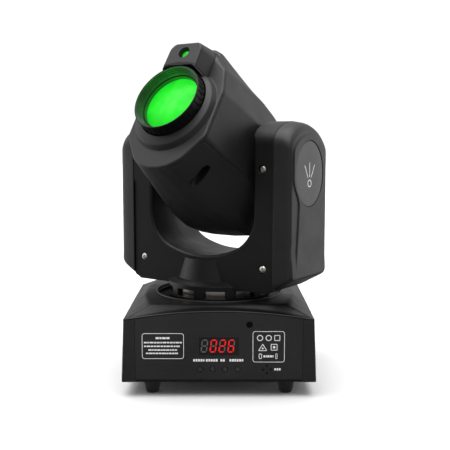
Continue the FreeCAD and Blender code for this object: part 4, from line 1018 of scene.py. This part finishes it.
LENS_BULGE = 95.0        # radius of the lens's front face
LENS_GLOW = (0.004, 0.029)       # metres from its bright middle over which the lens dims
LENS_STOPS = ((0.40, (0.004, 0.42, 0.008)), (0.62, (0.010, 0.72, 0.016)), (0.82, (0.026, 0.92, 0.03)),
              (0.97, (0.09, 1.0, 0.09)))


def build_optics():
    """Lit lens inside the focus ring, the barrel's rim glowing with painted green light, and the small lit
    aperture.
    """
    profile = [(25.0, LENS_FRONT - 5.6), (25.2, LENS_FRONT - 5.4)]
    profile += [(r, LENS_FRONT - 0.2 - LENS_BULGE + sqrt(LENS_BULGE ** 2 - r ** 2))
                for r in (25.2, 23.0, 20.0, 16.0, 12.0, 8.0, 4.0, 0.5)]
    lens = bmesh.new()
    solid(lens, turned(profile))
    piece = add_piece("front_lens_glass", lens, AT_HEAD, "lens", "aperture", ("front_lens",))
    piece.data.materials[0] = lens_material()
    rim = bmesh.new()
    lathe(rim, [(25.25, 86.0), (25.3, 89.3), (25.5, 89.62), (25.8, 89.75), (26.3, 89.7), (26.55, 89.4),
                (26.6, 88.8), (26.6, 86.0)])
    # the retaining rim glows green: painted light of the lamp
    add_piece("lens_retaining_rim", rim, AT_HEAD, "lens", "painted_green_light")
    window = bmesh.new()
    solid(window, turned(((3.8, 92.2), (3.8, 93.2), (3.5, 93.6), (2.4, 93.85), (1.2, 93.95)), APERTURE, 40))
    add_piece("aperture_window_lens", window, AT_HEAD, "head", "aperture", ("aperture_window",))


def lens_material():
    """Green-lit lens: brightest near its middle, with soft caustic blotches and a darker rim."""
    mat, shader = principled("lit_lens", (0.004, 0.05, 0.008), 0.3, specular=0.12)
    nodes, links = mat.node_tree.nodes, mat.node_tree.links
    away = nodes.new("ShaderNodeVectorMath")
    away.operation = "DISTANCE"
    away.inputs[1].default_value = AT_HEAD @ Vector((2.0, -89.0, LENS_V + 3.0))
    links.new(nodes.new("ShaderNodeTexCoord").outputs["Object"], away.inputs[0])
    glow = nodes.new("ShaderNodeMath")
    glow.operation = "MULTIPLY_ADD"
    glow.inputs[1].default_value = 0.55
    links.new(noise(mat, 75.0, 3.0), glow.inputs[0])
    links.new(spread(mat, away.outputs["Value"], 0.62, 0.30, *LENS_GLOW), glow.inputs[2])
    links.new(ramped(mat, glow.outputs["Value"], LENS_STOPS), shader.inputs["Emission Color"])
    shader.inputs["Emission Strength"].default_value = 1.0
    return mat


def build_head():
    build_head_covers()
    build_bezel()
    build_hump()
    build_focus_ring()
    build_optics()
    refined("lens_barrel", "lens", "ring", 0.2)
    for node, finish, width in (("rear_cap", "shell", 0.6), ("tilt_axle_left", "tray", 0.3),
                                ("tilt_axle_right", "tray", 0.3)):
        refined(node, "head", finish, width)


# ---- inner pieces keep their own shape ----

INNER = {
    "board": ("control_board", "power_supply"),
    "plated": ("pan_bridge", "yoke_chassis", "optics_frame"),
    "motor": ("pan_motor", "tilt_motor", "colour_motor", "gobo_motor"),
    "belt": ("pan_belt", "tilt_belt"),
    "aluminium": ("pan_motor_pulley", "tilt_motor_pulley", "pan_pulley", "tilt_pulley", "heat_sink",
                  "led_module"),
    "bearing": ("tilt_bearings",),
    "fan": ("fan_frame", "fan_rotor"),
    "wheel": ("colour_wheel", "gobo_wheel"),
    "filter": ("colour_filters",),
}


def finish_inner():
    for finish, names in INNER.items():
        for name in names:
            NODES[name].data.materials.clear()
            NODES[name].data.materials.append(FINISH[finish][0])


# ---- studio ----

def build_floor():
    bm = bmesh.new()
    bmesh.ops.create_grid(bm, x_segments=8, y_segments=8, size=6.0)
    mesh = bpy.data.meshes.new("floor")
    bm.to_mesh(mesh)
    bm.free()
    floor = bpy.data.objects.new("floor", mesh)
    floor.location.z = -ORIGIN_HEIGHT * MM - 0.0002
    mesh.materials.append(principled("pale_floor", (0.93, 0.93, 0.93), 0.9, specular=0.1)[0])
    bpy.context.scene.collection.objects.link(floor)
    floor.visible_glossy = False


def build_world():
    """White to the camera; as a light source, bright to the sides and behind, dim in front."""
    world = bpy.data.worlds.new("studio")
    bpy.context.scene.world = world
    world.use_nodes = True
    nodes, links = world.node_tree.nodes, world.node_tree.links
    nodes.clear()
    coords = nodes.new("ShaderNodeTexCoord")
    split = nodes.new("ShaderNodeSeparateXYZ")
    links.new(coords.outputs["Generated"], split.inputs[0])

    def ramp(source, low, high, out_low, out_high, absolute=False):
        if absolute:
            source = combine("ABSOLUTE", source, 0.0)
        node = nodes.new("ShaderNodeMapRange")
        node.interpolation_type = "SMOOTHSTEP"
        for name, value in (("From Min", low), ("From Max", high), ("To Min", out_low), ("To Max", out_high)):
            node.inputs[name].default_value = value
        links.new(source, node.inputs["Value"])
        return node.outputs["Result"]

    def combine(operation, a, b):
        node = nodes.new("ShaderNodeMath")
        node.operation = operation
        for socket, value in zip(node.inputs, (a, b)):
            if isinstance(value, float):
                socket.default_value = value
            else:
                links.new(value, socket)
        return node.outputs[0]

    x, y, z = split.outputs["X"], split.outputs["Y"], split.outputs["Z"]
    sides = combine("MULTIPLY", ramp(x, 0.55, 0.9, 0.0, 1.1, True), ramp(y, -0.3, 0.1, 0.0, 1.0))
    back = ramp(y, 0.1, 0.8, 0.0, 0.45)
    front = ramp(y, -0.95, -0.4, 0.22, 0.0)
    top = ramp(z, 0.3, 0.85, 0.0, 0.55)
    light = combine("ADD", combine("ADD", sides, back), combine("ADD", front, top))
    light = combine("ADD", light, 0.07)
    light = combine("MULTIPLY", light, ramp(z, -0.5, 0.0, 0.35, 1.0))
    studio, white = nodes.new("ShaderNodeBackground"), nodes.new("ShaderNodeBackground")
    for background in (studio, white):
        background.inputs["Color"].default_value = (1.0, 1.0, 1.0, 1.0)
    links.new(light, studio.inputs["Strength"])
    white.inputs["Strength"].default_value = 1.05
    path = nodes.new("ShaderNodeLightPath")
    mix = nodes.new("ShaderNodeMixShader")
    output = nodes.new("ShaderNodeOutputWorld")
    links.new(path.outputs["Is Camera Ray"], mix.inputs[0])
    links.new(studio.outputs[0], mix.inputs[1])
    links.new(white.outputs[0], mix.inputs[2])
    links.new(mix.outputs[0], output.inputs[0])


def add_sun(name, direction, energy, spread_deg):
    light = bpy.data.lights.new(name, "SUN")
    light.energy = energy
    light.angle = radians(spread_deg)
    lamp = bpy.data.objects.new(name, light)
    lamp.rotation_euler = Vector(direction).to_track_quat("-Z", "Y").to_euler()
    bpy.context.scene.collection.objects.link(lamp)


CAMERA_PLACE = (0.005, -0.7031, 0.1979)
CAMERA_DIP = 6.23        # degrees below level
CAMERA_LENS = 62.74


def build_camera():
    camera = bpy.data.cameras.new("camera")
    camera.lens = CAMERA_LENS
    camera.sensor_width = 36.0
    camera.clip_start = 0.01
    obj = bpy.data.objects.new("camera", camera)
    obj.location = CAMERA_PLACE
    obj.rotation_euler = (radians(90.0 - CAMERA_DIP), 0.0, 0.0)
    bpy.context.scene.collection.objects.link(obj)
    bpy.context.scene.camera = obj


def build_studio():
    build_floor()
    build_world()
    build_camera()
    add_sun("top_soft_light", (0.1, 0.15, -1.0), 2.6, 70.0)
    scene = bpy.context.scene
    scene.view_settings.view_transform = "Standard"
    scene.view_settings.look = "None"


build_base()
build_yoke()
build_head()
finish_inner()
build_studio()
